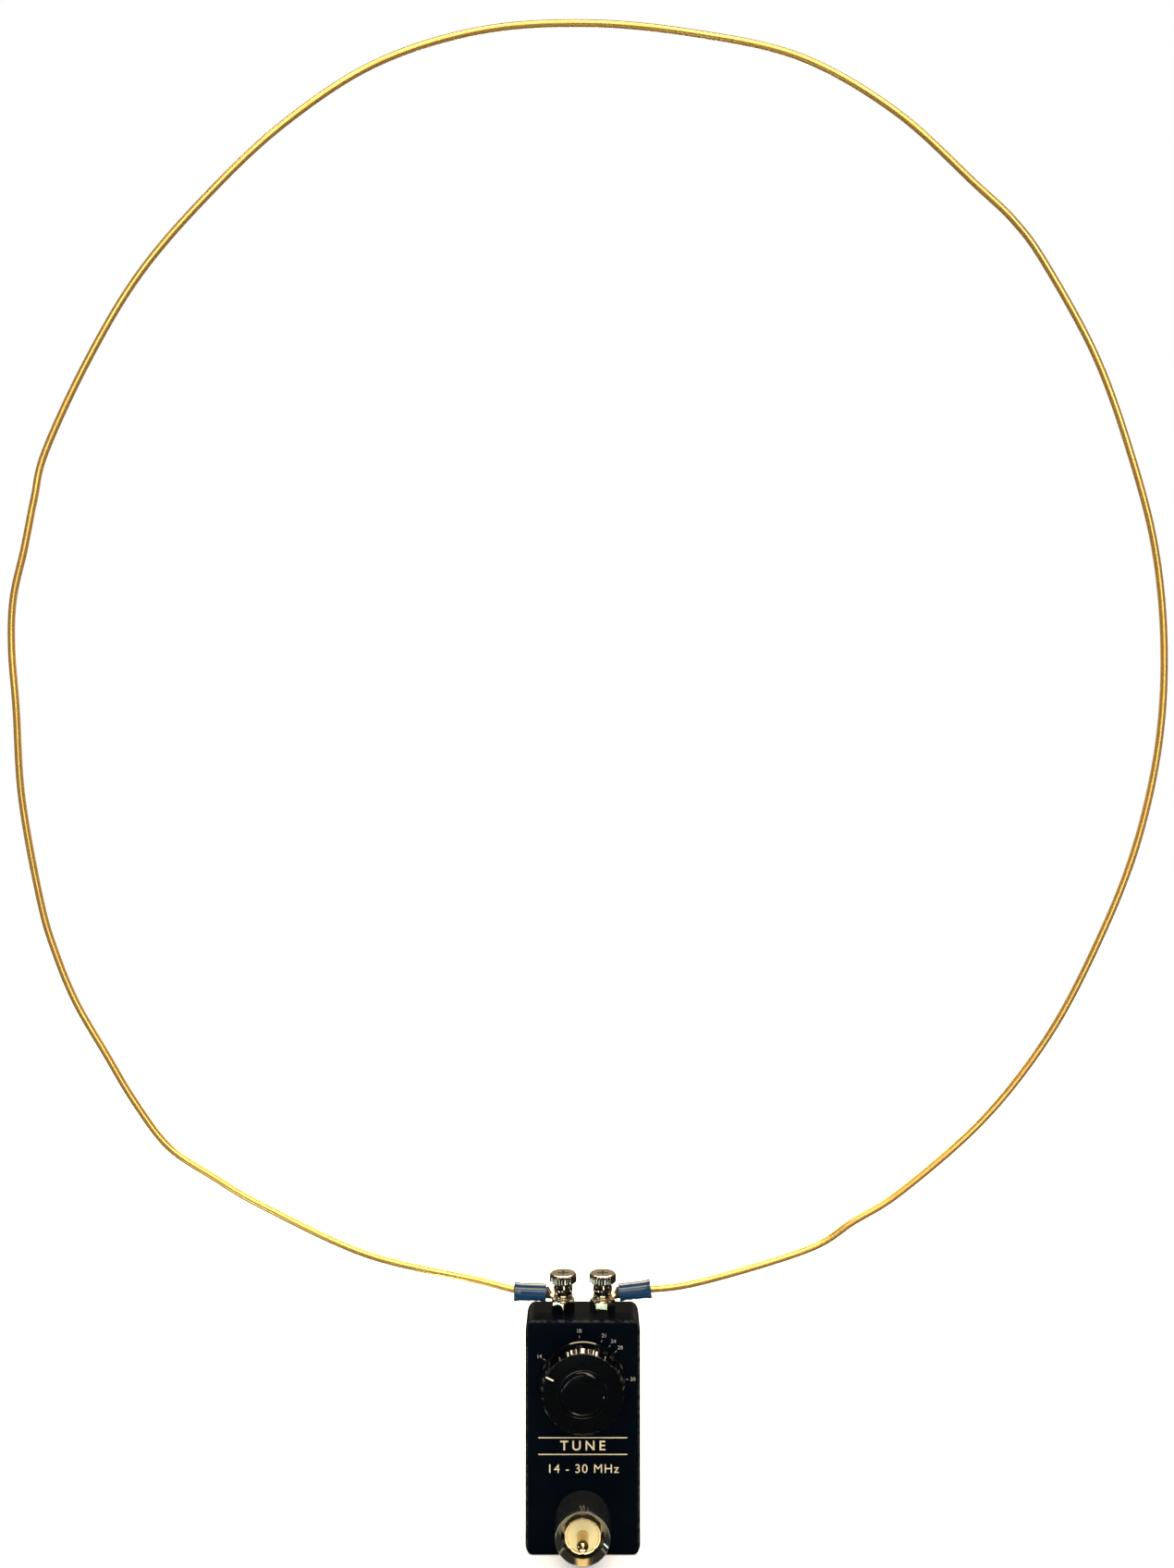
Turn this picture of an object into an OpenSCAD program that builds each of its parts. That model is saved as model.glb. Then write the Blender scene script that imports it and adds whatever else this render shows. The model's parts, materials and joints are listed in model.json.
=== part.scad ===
// Radio loop antenna: a pocket tuner case with a coaxial plug and a tuning knob on its front,
// and a hand-bent wire loop whose ring lugs are clamped under two thumb screws on its top.
// The origin is on the plug's axis at its mating face. +Z runs up to the loop, -Y out of the plug.

/* [Case] */
// Width of the case
case_w = 40; // [39:0.5:46]
// Height of the case
case_h = 82; // [81:1:96]
// Depth of the case with its back cover
case_d = 20; // [19.5:0.5:26]
// Thickness of the moulded walls
wall = 2; // [1.6:0.1:2.2]
// Thickness of the back cover
cover_t = 2.5; // [2.2:0.1:3]
// Radius of the case's corners, seen from the front
corner_r = 4; // [3:0.5:6]
// Radius of the rounded front and back edges
edge_r = 1.5; // [0.8:0.1:1.8]
// Depth of the cover's locating lip
lip_d = 1.5; // [1:0.1:2]
// Thickness of the cover's locating lip
lip_t = 1.2; // [0.8:0.1:1.6]

/* [Cover screws] */
// Distance of each cover screw from the case's edges
screw_inset = 4.6; // [4.2:0.1:5]
// Diameter of the screw bosses
boss_d = 6; // [5:0.5:6.5]
// Diameter of the screw shanks
cover_screw_d = 2.2; // [2:0.1:2.6]
// Length of the cover screws
cover_screw_l = 10; // [8:0.5:12]
// Diameter of the countersunk heads
cover_head_d = 4.2; // [3.8:0.1:4.8]

/* [Terminals] */
// Distance of each terminal from its side of the case
post_inset = 13; // [12.5:0.5:13.5]
// Width of the hexagonal terminal bases across their flats
hex_af = 8; // [7.5:0.5:9]
// Height of the hexagonal terminal bases
hex_h = 4.2; // [3.5:0.1:6]
// Diameter of the studs that pass through the top of the case
stud_d = 5.5; // [5:0.1:6]
// Width of the lock nuts across their flats
nut_af = 8; // [7.5:0.5:8.5]
// Thickness of the lock nuts
nut_h = 2.7; // [2:0.1:3]
// Diameter of the thumb screws' threads
thread_d = 3.5; // [3:0.1:4]
// Length of thread that each terminal base holds
thread_in = 5; // [4:0.5:6]
// Diameter of the knurled heads
head_d = 9.5; // [8.5:0.5:11]
// Height of the knurled heads
head_h = 3.6; // [3:0.1:5]
// Diameter of the shoulders under the heads
shoulder_d = 6.7; // [6:0.1:8]
// Height of the shoulders under the heads
shoulder_h = 3.2; // [2.5:0.1:5]
// Number of ridges on each knurled head
head_ridges = 30; // [20:1:36]
// Diameter of the clamp washers
washer_d = 6.8; // [6.4:0.2:8]
// Thickness of the clamp washers
washer_t = 0.6; // [0.4:0.1:1]

/* [Ring lugs] */
// Diameter of the rings
lug_d = 6.8; // [6.4:0.2:8]
// Thickness of the lugs' sheet metal
lug_t = 0.8; // [0.6:0.1:1]
// Distance from a ring's centre to its barrel
lug_reach = 5.6; // [5.4:0.1:8]
// Diameter of the crimp barrels
barrel_d = 4; // [3.6:0.1:4.4]
// Length of the crimp barrels
barrel_l = 6.5; // [5:0.5:8]
// Diameter of the insulating sleeves
sleeve_d = 6; // [5.6:0.1:6.6]
// Length of the insulating sleeves
sleeve_l = 11.3; // [9:0.1:13]
// How far each sleeve's wire end flares, on its radius
sleeve_flare = 0.35; // [0:0.05:0.6]
// Upward tilt of the left barrel
left_tilt = 2; // [0:1:10]
// Upward tilt of the right barrel
right_tilt = 7; // [0:1:10]

/* [Loop] */
// Diameter of the loop wire
wire_d = 2.5; // [2:0.1:2.6]
// Width of the loop
loop_w = 408; // [300:1:600]
// Height of the loop above the lug barrels
loop_h = 450; // [320:1:650]

/* [Knob] */
// Diameter of the knob
knob_d = 30; // [26:0.5:32]
// Height of the knob
knob_h = 8.8; // [8.4:0.1:12]
// Gap between the knob and the panel
knob_gap = 2.2; // [0.8:0.1:3]
// Distance of the knob's axis below the top of the case
knob_down = 21; // [20:0.5:24]
// Thickness of the knob's outer wall
knob_wall = 2; // [1.6:0.1:2.4]
// Width of the slope round the knob's face
knob_slope = 0.8; // [0.5:0.1:1.2]
// Number of rounded ridges round the knob
knob_ridges = 28; // [22:2:32]
// Diameter of the knob's centre cap
cap_d = 16.2; // [13:0.2:18]
// Thickness of the knob's centre cap
cap_t = 1; // [0.8:0.1:1.2]
// Width of the pointer line
pointer_w = 0.8; // [0.6:0.1:1.4]
// Length of the pointer line, inward from the edge of the knob's face
pointer_l = 3.2; // [2:0.1:4]
// Angle of the pointer line, counter-clockwise from three o'clock
pointer_angle = 155; // [0:1:180]

/* [Tuning capacitor] */
// Width and height of the capacitor
cap_size = 20; // [19.5:0.5:21]
// Depth of the capacitor behind the panel
cap_depth = 11.5; // [11:0.1:11.5]
// Thickness of the capacitor's base plate
cap_base_t = 1.5; // [1.2:0.1:2]
// Diameter of the tuning shaft
shaft_d = 6; // [5.5:0.1:6.4]
// Diameter of the bush that centres the shaft in the panel
bush_d = 8; // [7.6:0.1:8.2]
// Distance between the two mounting screws
cap_screw_gap = 14; // [13.8:0.1:15]
// Number of moving plates
plates = 4; // [2:1:4]
// Distance from one moving plate to the next
plate_pitch = 1.7; // [1.5:0.1:1.8]
// Thickness of the plates
plate_t = 0.4; // [0.3:0.05:0.5]

/* [Plug] */
// Distance from the panel to the plug's mating face
plug_reach = 13.5; // [13:0.5:18]
// Height of the plug's axis above the bottom of the case
plug_up = 14; // [13.5:0.5:16]
// Diameter of the centre pin
pin_d = 3.96; // [3.8:0.02:4.1]
// How far the centre pin stands out of the mating face
pin_out = 8; // [6:0.5:12]
// Outer diameter of the plug's nose
nose_d = 12.2; // [11.8:0.1:12.6]
// Wall of the plug's nose
nose_wall = 0.5; // [0.4:0.05:0.8]
// Outer diameter of the coupling ring
ring_d = 18.8; // [18:0.1:20]
// Inner diameter of the coupling ring, at the crests of its thread
ring_bore_d = 14.8; // [14.4:0.1:15.4]
// How far the coupling ring stands out past the mating face
ring_out = 1.9; // [1:0.1:3]
// Number of grip grooves round the coupling ring
ring_grooves = 36; // [24:1:40]

/* [Coupling coil] */
// Outer diameter of the ferrite core
core_od = 12.7; // [12:0.1:13]
// Inner diameter of the ferrite core
core_id = 7.1; // [6.8:0.1:7.4]
// Height of the ferrite core
core_h = 4.8; // [4:0.1:5]
// Number of turns round the core
turns = 8; // [4:1:8]
// Diameter of the winding wire
coil_wire_d = 0.6; // [0.4:0.05:0.7]

/* [Hidden] */
$fn = 72;

// Clearances
running = 0.05;
loose = 0.15;
seat = 0.02;
solder_gap = 0.2;
// Extra length of a cut past the face that it opens
past = 1;

// Where the case's faces lie
panel_y = plug_reach;
inside_y = panel_y + wall;
back_y = panel_y + case_d;
cover_y = back_y - cover_t;
mid_y = panel_y + case_d / 2;
base_z = -plug_up;
top_z = base_z + case_h;
case_z = base_z + case_h / 2;
ceiling_z = top_z - wall;
knob_z = top_z - knob_down;

// Cover screws
lip_in = wall + loose + lip_t;
boss_x = case_w / 2 - screw_inset;
boss_z = case_h / 2 - screw_inset;
cover_head_t = 1.2;
slot_w = 0.6;
slot_d = 0.7;
slot_share = 0.6;

// Terminals, from the top of the case upwards and from its ceiling downwards
post_x = case_w / 2 - post_inset;
lug_z = top_z + hex_h;
washer_z = lug_z + lug_t;
shoulder_z = washer_z + washer_t;
cone_h = 0.9;
head_z = shoulder_z + shoulder_h + cone_h;
thread_end_z = lug_z - thread_in;
hex_chamfer = 0.5;
tag_t = 0.5;
tag_d = 8.6;
tag_w = 2.4;
tag_leg = 5;
tag_leg_y = mid_y + tag_d / 2 + tag_t;
lock_t = 0.6;
lock_d = 8.4;
nut_z = ceiling_z - tag_t - lock_t - nut_h;
stud_past = 0.6;
stud_end_z = nut_z - stud_past;
nut_turn = 30;
left_post_turn = 32;
right_post_turn = -7;

// Knurled head
ridge_d = 0.25;
core_head_d = head_d - 2 * (ridge_d + seat);
head_chamfer = 0.45;
cross_w = 0.9;
cross_l = 4.4;
cross_d = 1.4;

// Ring lugs
lug_hole_play = 0.7;
lug_hole_d = thread_d + lug_hole_play;
barrel_up = barrel_d / 2;
barrel_x = post_x + lug_reach;
barrel_bore_d = wire_d + 2 * running;
neck_w = 4.6;
neck_in = 1.2;
scoop_past = 0.3;
scoop_angle = atan2(barrel_d - lug_t, neck_in + scoop_past);
sleeve_start = 0.5;
flare_l = 3;
flare_wall = 0.6;

// The loop's route, from the left lug over the top to the right lug: each bend of the hand-formed wire,
// in hundredths of half the loop's width and in hundredths of its height
route = [
    [-18.5, 1], [-37.5, 3], [-55.5, 6.8], [-63.8, 9], [-72, 11.5], [-78, 15.1], [-83, 18.9],
    [-88, 22.8], [-91.5, 26.6], [-94.2, 30.7], [-97.5, 38.9], [-98.5, 46], [-99.3, 50.8],
    [-99, 54.7], [-97.1, 58.6], [-95.4, 62.5], [-93.4, 66.3], [-86, 73.5], [-77, 80.3],
    [-65.2, 86.5], [-52, 92.1], [-36.2, 96.8], [-18.2, 99.4], [0.5, 100], [19.5, 99.2],
    [38, 97.3], [54.5, 93], [68.3, 87.3], [75, 84.4], [80.3, 81.1], [89, 73.9], [95, 66.4],
    [99.4, 58.7], [101, 50.8], [100, 43], [96, 35], [89.5, 27.6], [81, 20.3], [69.7, 13.7],
    [55.4, 8], [47, 5.6], [39, 3.4], [20, 0.8]
];
wire_z = lug_z + barrel_up;
wire_in = 0.8;
wire_clear = 1.5;
wire_side_count = 10;
bend_step_count = 2;

// Knob, measured out from the panel
knob_r = knob_d / 2;
knob_top = knob_gap + knob_h;
face_r = knob_r - knob_slope;
knob_lip = 1;
knob_ridge_r = 1.9;
knob_ridge_d = 0.55;
knob_ridge_step = 0.05;
knob_roof = 3.2;
hub_d = 11;
cap_sunk = 0.3;
cap_recess = cap_t + cap_sunk;
pointer_d = 0.4;
shaft_short = 0.3;
shaft_top = knob_top - knob_roof - shaft_short;
grub_d = 3;
grub_l = 4;
grub_up = 3.2;
grub_slot_w = 0.5;
grub_slot_d = 0.8;

// Tuning capacitor, measured back from the panel's inner face
cap_wall = 1;
cap_shell_y = inside_y + cap_base_t;
cap_back_y = inside_y + cap_depth;
cap_screw_d = 2.4;
cap_screw_head_d = 4.6;
cap_screw_head_t = 1.2;
pivot_d = 3;
pivot_out = 1;
hub_wall = 1;
plate_gap = 0.6;
stator_r = cap_size / 2 - cap_wall - loose;
rod_d = 1;
rod_r = stator_r - plate_gap;
rotor_r = rod_r - rod_d / 2 - plate_gap;
stator_in_r = shaft_d / 2 + hub_wall + plate_gap;
rod_angles = [200, 340];
rod_out = 1.8;
first_plate = 1.5;
rotor_y = cap_shell_y + first_plate;
rotor_tag_t = 0.4;
rotor_tag_w = 3;
rotor_tag_l = 12;

// Plug, measured out from the panel
plug_thread_d = 11.3;
collar_d = 14;
collar_t = 1.5;
ring_gap = 0.5;
skirt_bore_d = collar_d + 2 * ring_gap;
lip_p = collar_t + ring_gap;
lip_bore_d = plug_thread_d + 4 * running;
lip_l = 2.8;
catch_d = 13.8;
catch_t = 2;
catch_p = lip_p + lip_l + 4 * running;
insulator_recess = 0.3;
insulator_step = 1;
insulator_d = nose_d - 2 * nose_wall;
insulator_p = catch_p + catch_t - insulator_step;
tail_d = 7;
plug_nut_af = 16;
plug_nut_h = 3;
ground_t = 0.8;
ground_d = 17;
thread_past = 0.7;
plug_tail = wall + ground_t + plug_nut_h + thread_past;
pin_tail = 2.5;
stem_step = 0.3;
stem_d = pin_d - 2 * stem_step;
cup_share = 0.6;
face_p = plug_reach - insulator_recess;
tip_p = plug_reach + pin_out;
rim_t = 0.3;
chamfer_r = ring_d / 2 - rim_t;
ring_front = plug_reach + ring_out;
groove_r = 0.5;
groove_d = 0.22;
groove_from = 1.2;
groove_l = 6;
notch_count = 8;
notch_w = 1.2;
notch_d = 0.5;

// Coupling coil
core_x = 6;
core_lift = 1.15;
core_y = inside_y + core_lift + core_od / 2;
core_z = 22;
core_r = 1;
saddle_w = 3;
saddle_h = 9;
saddle_top = 2.7;
coil_clear = 0.1;
coil_from = 62;
coil_to = 298;
coil_step_count = 18;
coil_side_count = 6;
lead_d = 1;
lead_side_count = 8;
lead_step_count = 3;

// Small functions
function unit(v) = v / norm(v);
function tangent(p, i) = unit(p[min(i + 1, len(p) - 1)] - p[max(i - 1, 0)]);
function carried(n, t) = unit(n - (n * t) * t);
function normals(p, up) = [for (i = 0, n = carried(up, tangent(p, 0)); i < len(p);
    i = i + 1, n = i < len(p) ? carried(n, tangent(p, i)) : n) n];
function bend(a, b, c, d, t) = (2 * b + (c - a) * t + (2 * a - 5 * b + 4 * c - d) * t * t
    + (3 * b - a - 3 * c + d) * t * t * t) / 2;
function smooth(p, n) = [for (i = [1 : len(p) - 3], k = [0 : n - 1])
    bend(p[i - 1], p[i], p[i + 1], p[i + 2], k / n), p[len(p) - 2]];
function smooth_all(p, n) = concat([p[0]], smooth(p, n), [p[len(p) - 1]]);
function powered(v, e) = sign(v) * pow(abs(v), e);

// A point on a lug's barrel axis, at a distance from the barrel's start
function barrel_point(side, tilt, s) = [
    side * (barrel_x + s * cos(tilt) - barrel_up * sin(tilt)),
    mid_y,
    lug_z + s * sin(tilt) + barrel_up * cos(tilt)];

loop_points = concat(
    [barrel_point(-1, left_tilt, wire_in), barrel_point(-1, left_tilt, barrel_l + wire_clear)],
    [for (p = route) [p[0] / 100 * loop_w / 2, mid_y, wire_z + p[1] / 100 * loop_h]],
    [barrel_point(1, right_tilt, barrel_l + wire_clear), barrel_point(1, right_tilt, wire_in)]);
loop_path = smooth_all(loop_points, bend_step_count);

// The winding's turns hug the core's section: a is measured round the core from the panel side
coil_mid_r = (core_od + core_id) / 4;
coil_half_r = (core_od - core_id) / 4 + coil_wire_d / 2 + coil_clear;
coil_half_h = core_h / 2 + coil_wire_d / 2 + coil_clear;
coil_square = 0.5;
function coil_point(s) =
    let (a = coil_from + (coil_to - coil_from) * s / turns)
    let (r = coil_mid_r + coil_half_r * powered(cos(360 * s), coil_square))
    [core_x + coil_half_h * powered(sin(360 * s), coil_square), core_y - r * cos(a), core_z + r * sin(a)];
coil_turns = [for (i = [0 : turns * coil_step_count]) coil_point(i / coil_step_count)];
ground_x = -9.5;
ground_z = 5.5;
ground_tail = [5, 3];
ground_end = [
    [ground_x, inside_y + ground_t + coil_wire_d / 2 + solder_gap, ground_z],
    [ground_x, inside_y + 3, ground_z + 6],
    [-4, inside_y + 3.5, core_z + 8],
    [2, inside_y + 3, core_z + 10]];
pin_end = [
    [core_x - 1.5, core_y - 3.5, core_z - 9.5],
    [2.5, core_y - 1.6, 6],
    [0.6, core_y - 1.2, stem_d / 2 + 1.2]];
coil_path = concat(ground_end, coil_turns, pin_end);
function least_gap(p, d, apart) = min([for (i = [0 : len(p) - 1], j = [0 : len(p) - 1])
    if (j > i + apart) norm(p[i] - p[j])]) - d;
echo(winding_least_gap = least_gap(coil_path, coil_wire_d, coil_step_count / 2));

left_rod = [rod_r * cos(rod_angles[0]), knob_z + rod_r * sin(rod_angles[0])];
left_lead_path = [
    [-post_x, tag_leg_y + tag_t / 2, ceiling_z - tag_leg - 0.3],
    [-post_x - 0.3, tag_leg_y + 0.2, knob_z + 9],
    [left_rod[0], cap_back_y + rod_out - 0.6, knob_z + 3],
    [left_rod[0], cap_back_y + rod_out - 0.6, left_rod[1] + rod_d / 2 + 0.2]];
right_lead_path = [
    [post_x, tag_leg_y + tag_t / 2, ceiling_z - tag_leg - 0.3],
    [post_x + 1.5, tag_leg_y, knob_z + 10],
    [cap_size / 2 + 3, core_y + 3, knob_z + 4],
    [cap_size / 2 + 4, core_y + 1, knob_z - 8],
    [cap_size / 2 + 3.5, core_y, core_z + 6],
    [core_x + core_h, core_y, core_z + 1],
    [core_x, core_y, core_z],
    [core_x - core_h, core_y, core_z + 1],
    [-0.8, core_y + 1.5, core_z + 6],
    [0, cap_back_y + 0.9, knob_z - rotor_tag_l - 1.2]];

// Shapes used by more than one piece

// Turns a shape's +Z to point out of the panel, with its origin on the panel at x, z
module out_of_panel(x, z) translate([x, panel_y, z]) rotate([90, 0, 0]) children();

// Extrudes a front view, drawn in x and z, from y0 back by t
module front_view(y0, t) translate([0, y0 + t, 0]) rotate([90, 0, 0]) linear_extrude(t) children();

module round_rect(w, h, r) {
    square([w - 2 * r, h], center = true);
    square([w, h - 2 * r], center = true);
    for (x = [-1, 1], z = [-1, 1]) translate([x * (w / 2 - r), z * (h / 2 - r)]) circle(r);
}

// A profile w wide and d deep, whose two corners at depth 0 are round
module round_front(w, d, r) {
    translate([-w / 2, r]) square([w, d - r]);
    translate([-w / 2 + r, 0]) square([w - 2 * r, d]);
    for (x = [-1, 1]) translate([x * (w / 2 - r), r]) circle(r);
}

// A block with round corners from the front and round front edges, from y = 0 back to d
module soft_block(d) intersection() {
    front_view(0, d) translate([0, case_z]) round_rect(case_w, case_h, corner_r);
    translate([0, 0, base_z]) linear_extrude(case_h) round_front(case_w, d, edge_r);
    translate([-case_w / 2, 0, case_z]) rotate([90, 0, 90]) linear_extrude(case_w)
        rotate(-90) round_front(case_h, d, edge_r);
}

module at_corners() for (x = [-1, 1], z = [-1, 1])
    translate([x * boss_x, 0, case_z + z * boss_z]) children();

module ring(d, hole, t) difference() {
    cylinder(d = d, h = t);
    translate([0, 0, -past]) cylinder(d = hole, h = t + 2 * past);
}

module hexagon(af, h) cylinder(d = af / cos(180 / 6), h = h, $fn = 6);

module cross_slots(l, w, d) for (a = [0, 90]) rotate(a)
    translate([-l / 2, -w / 2, -d]) cube([l, w, d + past]);

// A countersunk screw whose head is flush at z = 0 and whose shank runs down
module countersunk(d, l, head, head_t) difference() {
    union() {
        translate([0, 0, -head_t]) cylinder(d1 = d, d2 = head, h = head_t);
        translate([0, 0, -l]) cylinder(d = d, h = l);
    }
    cross_slots(head * slot_share, slot_w, slot_d);
}

module countersink(d, l, head, head_t) {
    translate([0, 0, -head_t]) cylinder(d1 = d, d2 = head, h = head_t);
    translate([0, 0, -l]) cylinder(d = d, h = l);
    cylinder(d = head, h = past);
}

// One unbroken tube along points in space
module tube(p, d, sides) {
    up = abs(tangent(p, 0)[1]) < 0.9 ? [0, 1, 0] : [1, 0, 0];
    n = normals(p, up);
    last = len(p) - 1;
    points = [for (i = [0 : last], k = [0 : sides - 1])
        p[i] + d / 2 * (cos(360 * k / sides) * n[i] + sin(360 * k / sides) * cross(tangent(p, i), n[i]))];
    walls = [for (i = [0 : last - 1], k = [0 : sides - 1], half = [0, 1])
        let (a = i * sides + k, b = i * sides + (k + 1) % sides)
        half == 0 ? [a, a + sides, b] : [b, a + sides, b + sides]];
    ends = [for (k = [1 : sides - 2], end = [0, 1])
        end == 0 ? [0, k, k + 1] : [last * sides, last * sides + k + 1, last * sides + k]];
    polyhedron(points, concat(walls, ends));
}

// Case

module case_front() color("#15171b") difference() {
    union() {
        difference() {
            translate([0, panel_y, 0]) soft_block(case_d - cover_t);
            front_view(inside_y, case_d) translate([0, case_z])
                round_rect(case_w - 2 * wall, case_h - 2 * wall, corner_r - wall);
        }
        at_corners() translate([0, inside_y - wall / 2, 0]) rotate([-90, 0, 0])
            cylinder(d = boss_d, h = cover_y - inside_y + wall / 2);
        core_saddle();
    }
    at_corners() translate([0, cover_y + past, 0]) rotate([90, 0, 0])
        cylinder(d = cover_screw_d + 2 * running, h = cover_screw_l - cover_t + 2 * past);
    out_of_panel(0, knob_z) {
        translate([0, 0, -wall - past]) cylinder(d = bush_d + 2 * loose, h = wall + 2 * past);
        for (x = [-1, 1]) translate([x * cap_screw_gap / 2, 0, 0])
            countersink(cap_screw_d + 2 * loose, wall + past,
                cap_screw_head_d + 2 * running, cap_screw_head_t);
    }
    out_of_panel(0, 0) translate([0, 0, -wall - past])
        cylinder(d = plug_thread_d + 2 * loose, h = wall + 2 * past);
    for (x = [-1, 1]) translate([x * post_x, mid_y, ceiling_z - past])
        cylinder(d = stud_d + 2 * loose, h = wall + 2 * past);
}

// The cradle moulded on the panel's inner face that the ferrite core sits in
module core_saddle() difference() {
    translate([core_x - saddle_w / 2, inside_y - wall / 2, core_z - saddle_h / 2])
        cube([saddle_w, saddle_top + wall / 2, saddle_h]);
    translate([core_x - saddle_w, core_y, core_z]) rotate([0, 90, 0])
        cylinder(d = core_od + 2 * running, h = 2 * saddle_w);
}

module case_back() color("#15171b") difference() {
    union() {
        translate([0, back_y, 0]) mirror([0, 1, 0]) soft_block(cover_t);
        difference() {
            front_view(cover_y - lip_d, lip_d + cover_t / 2) translate([0, case_z]) difference() {
                round_rect(case_w - 2 * (wall + loose), case_h - 2 * (wall + loose), corner_r - wall);
                square([case_w - 2 * lip_in, case_h - 2 * lip_in], center = true);
            }
            at_corners() translate([0, cover_y, 0]) rotate([90, 0, 0])
                cylinder(d = boss_d + 4 * loose, h = lip_d + past);
        }
    }
    at_corners() translate([0, back_y, 0]) rotate([-90, 0, 0])
        countersink(cover_screw_d + 2 * loose, cover_t + past, cover_head_d + 2 * running, cover_head_t);
}

module cover_screws() color("#8f8c86") at_corners() translate([0, back_y, 0]) rotate([-90, 0, 0])
    countersunk(cover_screw_d, cover_screw_l, cover_head_d, cover_head_t);

// Loop, lugs and sleeves

module loop_wire() color("#c8922e") tube(loop_path, wire_d, wire_side_count);

// Turns a shape drawn along +X, with its origin on the ring's underside, to the barrel's place and tilt
module at_barrel(side, tilt) mirror([side < 0 ? 1 : 0, 0, 0])
    translate([barrel_x, mid_y, lug_z]) rotate([0, -tilt, 0]) children();

// A ring whose neck rises in an open scoop to the crimp barrel
module lug(side, tilt) color("#b9b4a8") difference() {
    union() {
        translate([side * post_x, mid_y, lug_z]) cylinder(d = lug_d, h = lug_t);
        mirror([side < 0 ? 1 : 0, 0, 0]) translate([post_x + lug_d / 4, mid_y - neck_w / 2, lug_z])
            cube([lug_reach - lug_d / 4, neck_w, lug_t]);
        at_barrel(side, tilt) translate([-neck_in, 0, barrel_up]) rotate([0, 90, 0])
            cylinder(d = barrel_d, h = neck_in + barrel_l);
    }
    translate([side * post_x, mid_y, lug_z - past]) cylinder(d = lug_hole_d, h = lug_t + 2 * past);
    at_barrel(side, tilt) {
        translate([-neck_in - past, 0, barrel_up]) rotate([0, 90, 0])
            cylinder(d = barrel_bore_d, h = neck_in + barrel_l + 2 * past);
        translate([-neck_in, -barrel_d, lug_t]) rotate([0, -scoop_angle, 0])
            cube([2 * barrel_d, 2 * barrel_d, 2 * barrel_d]);
    }
}

module left_lug() lug(-1, left_tilt);
module right_lug() lug(1, right_tilt);

module sleeve(side, tilt) color("#1f3f74") at_barrel(side, tilt)
    translate([sleeve_start, 0, barrel_up]) rotate([0, 90, 0]) difference() {
        union() {
            cylinder(d = sleeve_d, h = sleeve_l);
            translate([0, 0, sleeve_l - flare_l])
                cylinder(d1 = sleeve_d - 2 * seat, d2 = sleeve_d + 2 * sleeve_flare, h = flare_l);
        }
        translate([0, 0, -past]) cylinder(d = barrel_d + 2 * running, h = sleeve_l + 2 * past);
        translate([0, 0, sleeve_l - flare_l])
            cylinder(d1 = barrel_d, d2 = sleeve_d + 2 * (sleeve_flare - flare_wall), h = flare_l + seat);
    }

module left_sleeve() sleeve(-1, left_tilt);
module right_sleeve() sleeve(1, right_tilt);

// Terminals

module post(side, turn) color("#b7ab90") translate([side * post_x, mid_y, 0]) difference() {
    union() {
        intersection() {
            translate([0, 0, top_z]) rotate(turn) hexagon(hex_af, hex_h);
            translate([0, 0, top_z - past])
                cylinder(d = hex_af + hex_chamfer, h = hex_h + past - hex_chamfer);
        }
        translate([0, 0, lug_z - hex_chamfer])
            cylinder(d1 = hex_af, d2 = hex_af - 2 * hex_chamfer, h = hex_chamfer);
        translate([0, 0, stud_end_z]) cylinder(d = stud_d, h = top_z - stud_end_z + hex_h / 2);
    }
    translate([0, 0, stud_end_z - past])
        cylinder(d = thread_d + 2 * running, h = lug_z - stud_end_z + 2 * past);
}

module left_post() post(-1, left_post_turn);
module right_post() post(1, right_post_turn);

module clamp_washer(side) color("#b7ab90") translate([side * post_x, mid_y, washer_z])
    ring(washer_d, thread_d + 4 * running, washer_t);

module left_washer() clamp_washer(-1);
module right_washer() clamp_washer(1);

module knurl(d, h) linear_extrude(h) polygon([for (i = [0 : 2 * head_ridges - 1])
    (d / 2 - (i % 2) * ridge_d) * [cos(180 * i / head_ridges), sin(180 * i / head_ridges)]]);

module thumb_screw(side) color("#b7ab90") translate([side * post_x, mid_y, 0]) difference() {
    union() {
        translate([0, 0, thread_end_z])
            cylinder(d = thread_d, h = shoulder_z - thread_end_z + shoulder_h / 2);
        translate([0, 0, shoulder_z]) cylinder(d = shoulder_d, h = shoulder_h);
        translate([0, 0, shoulder_z + shoulder_h])
            cylinder(d1 = shoulder_d, d2 = core_head_d, h = cone_h);
        translate([0, 0, head_z]) knurl(head_d, head_h - head_chamfer);
        translate([0, 0, head_z + head_h - head_chamfer])
            cylinder(d1 = core_head_d, d2 = core_head_d - 2 * head_chamfer, h = head_chamfer);
    }
    translate([0, 0, head_z + head_h]) cross_slots(cross_l, cross_w, cross_d);
}

module left_thumb_screw() thumb_screw(-1);
module right_thumb_screw() thumb_screw(1);

module solder_tag(side) color("#b9b4a8") translate([side * post_x, mid_y, ceiling_z - tag_t]) {
    difference() {
        union() {
            cylinder(d = tag_d, h = tag_t);
            translate([-tag_w / 2, 0, 0]) cube([tag_w, tag_leg_y - mid_y + tag_t, tag_t]);
        }
        translate([0, 0, -past]) cylinder(d = stud_d + 2 * loose, h = tag_t + 2 * past);
    }
    translate([-tag_w / 2, tag_leg_y - mid_y, tag_t - tag_leg]) cube([tag_w, tag_t, tag_leg - tag_t / 2]);
}

module left_tag() solder_tag(-1);
module right_tag() solder_tag(1);

module post_lock_washers() color("#a9a69e") for (x = [-1, 1])
    translate([x * post_x, mid_y, ceiling_z - tag_t - lock_t]) ring(lock_d, stud_d + 2 * loose, lock_t);

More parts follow.
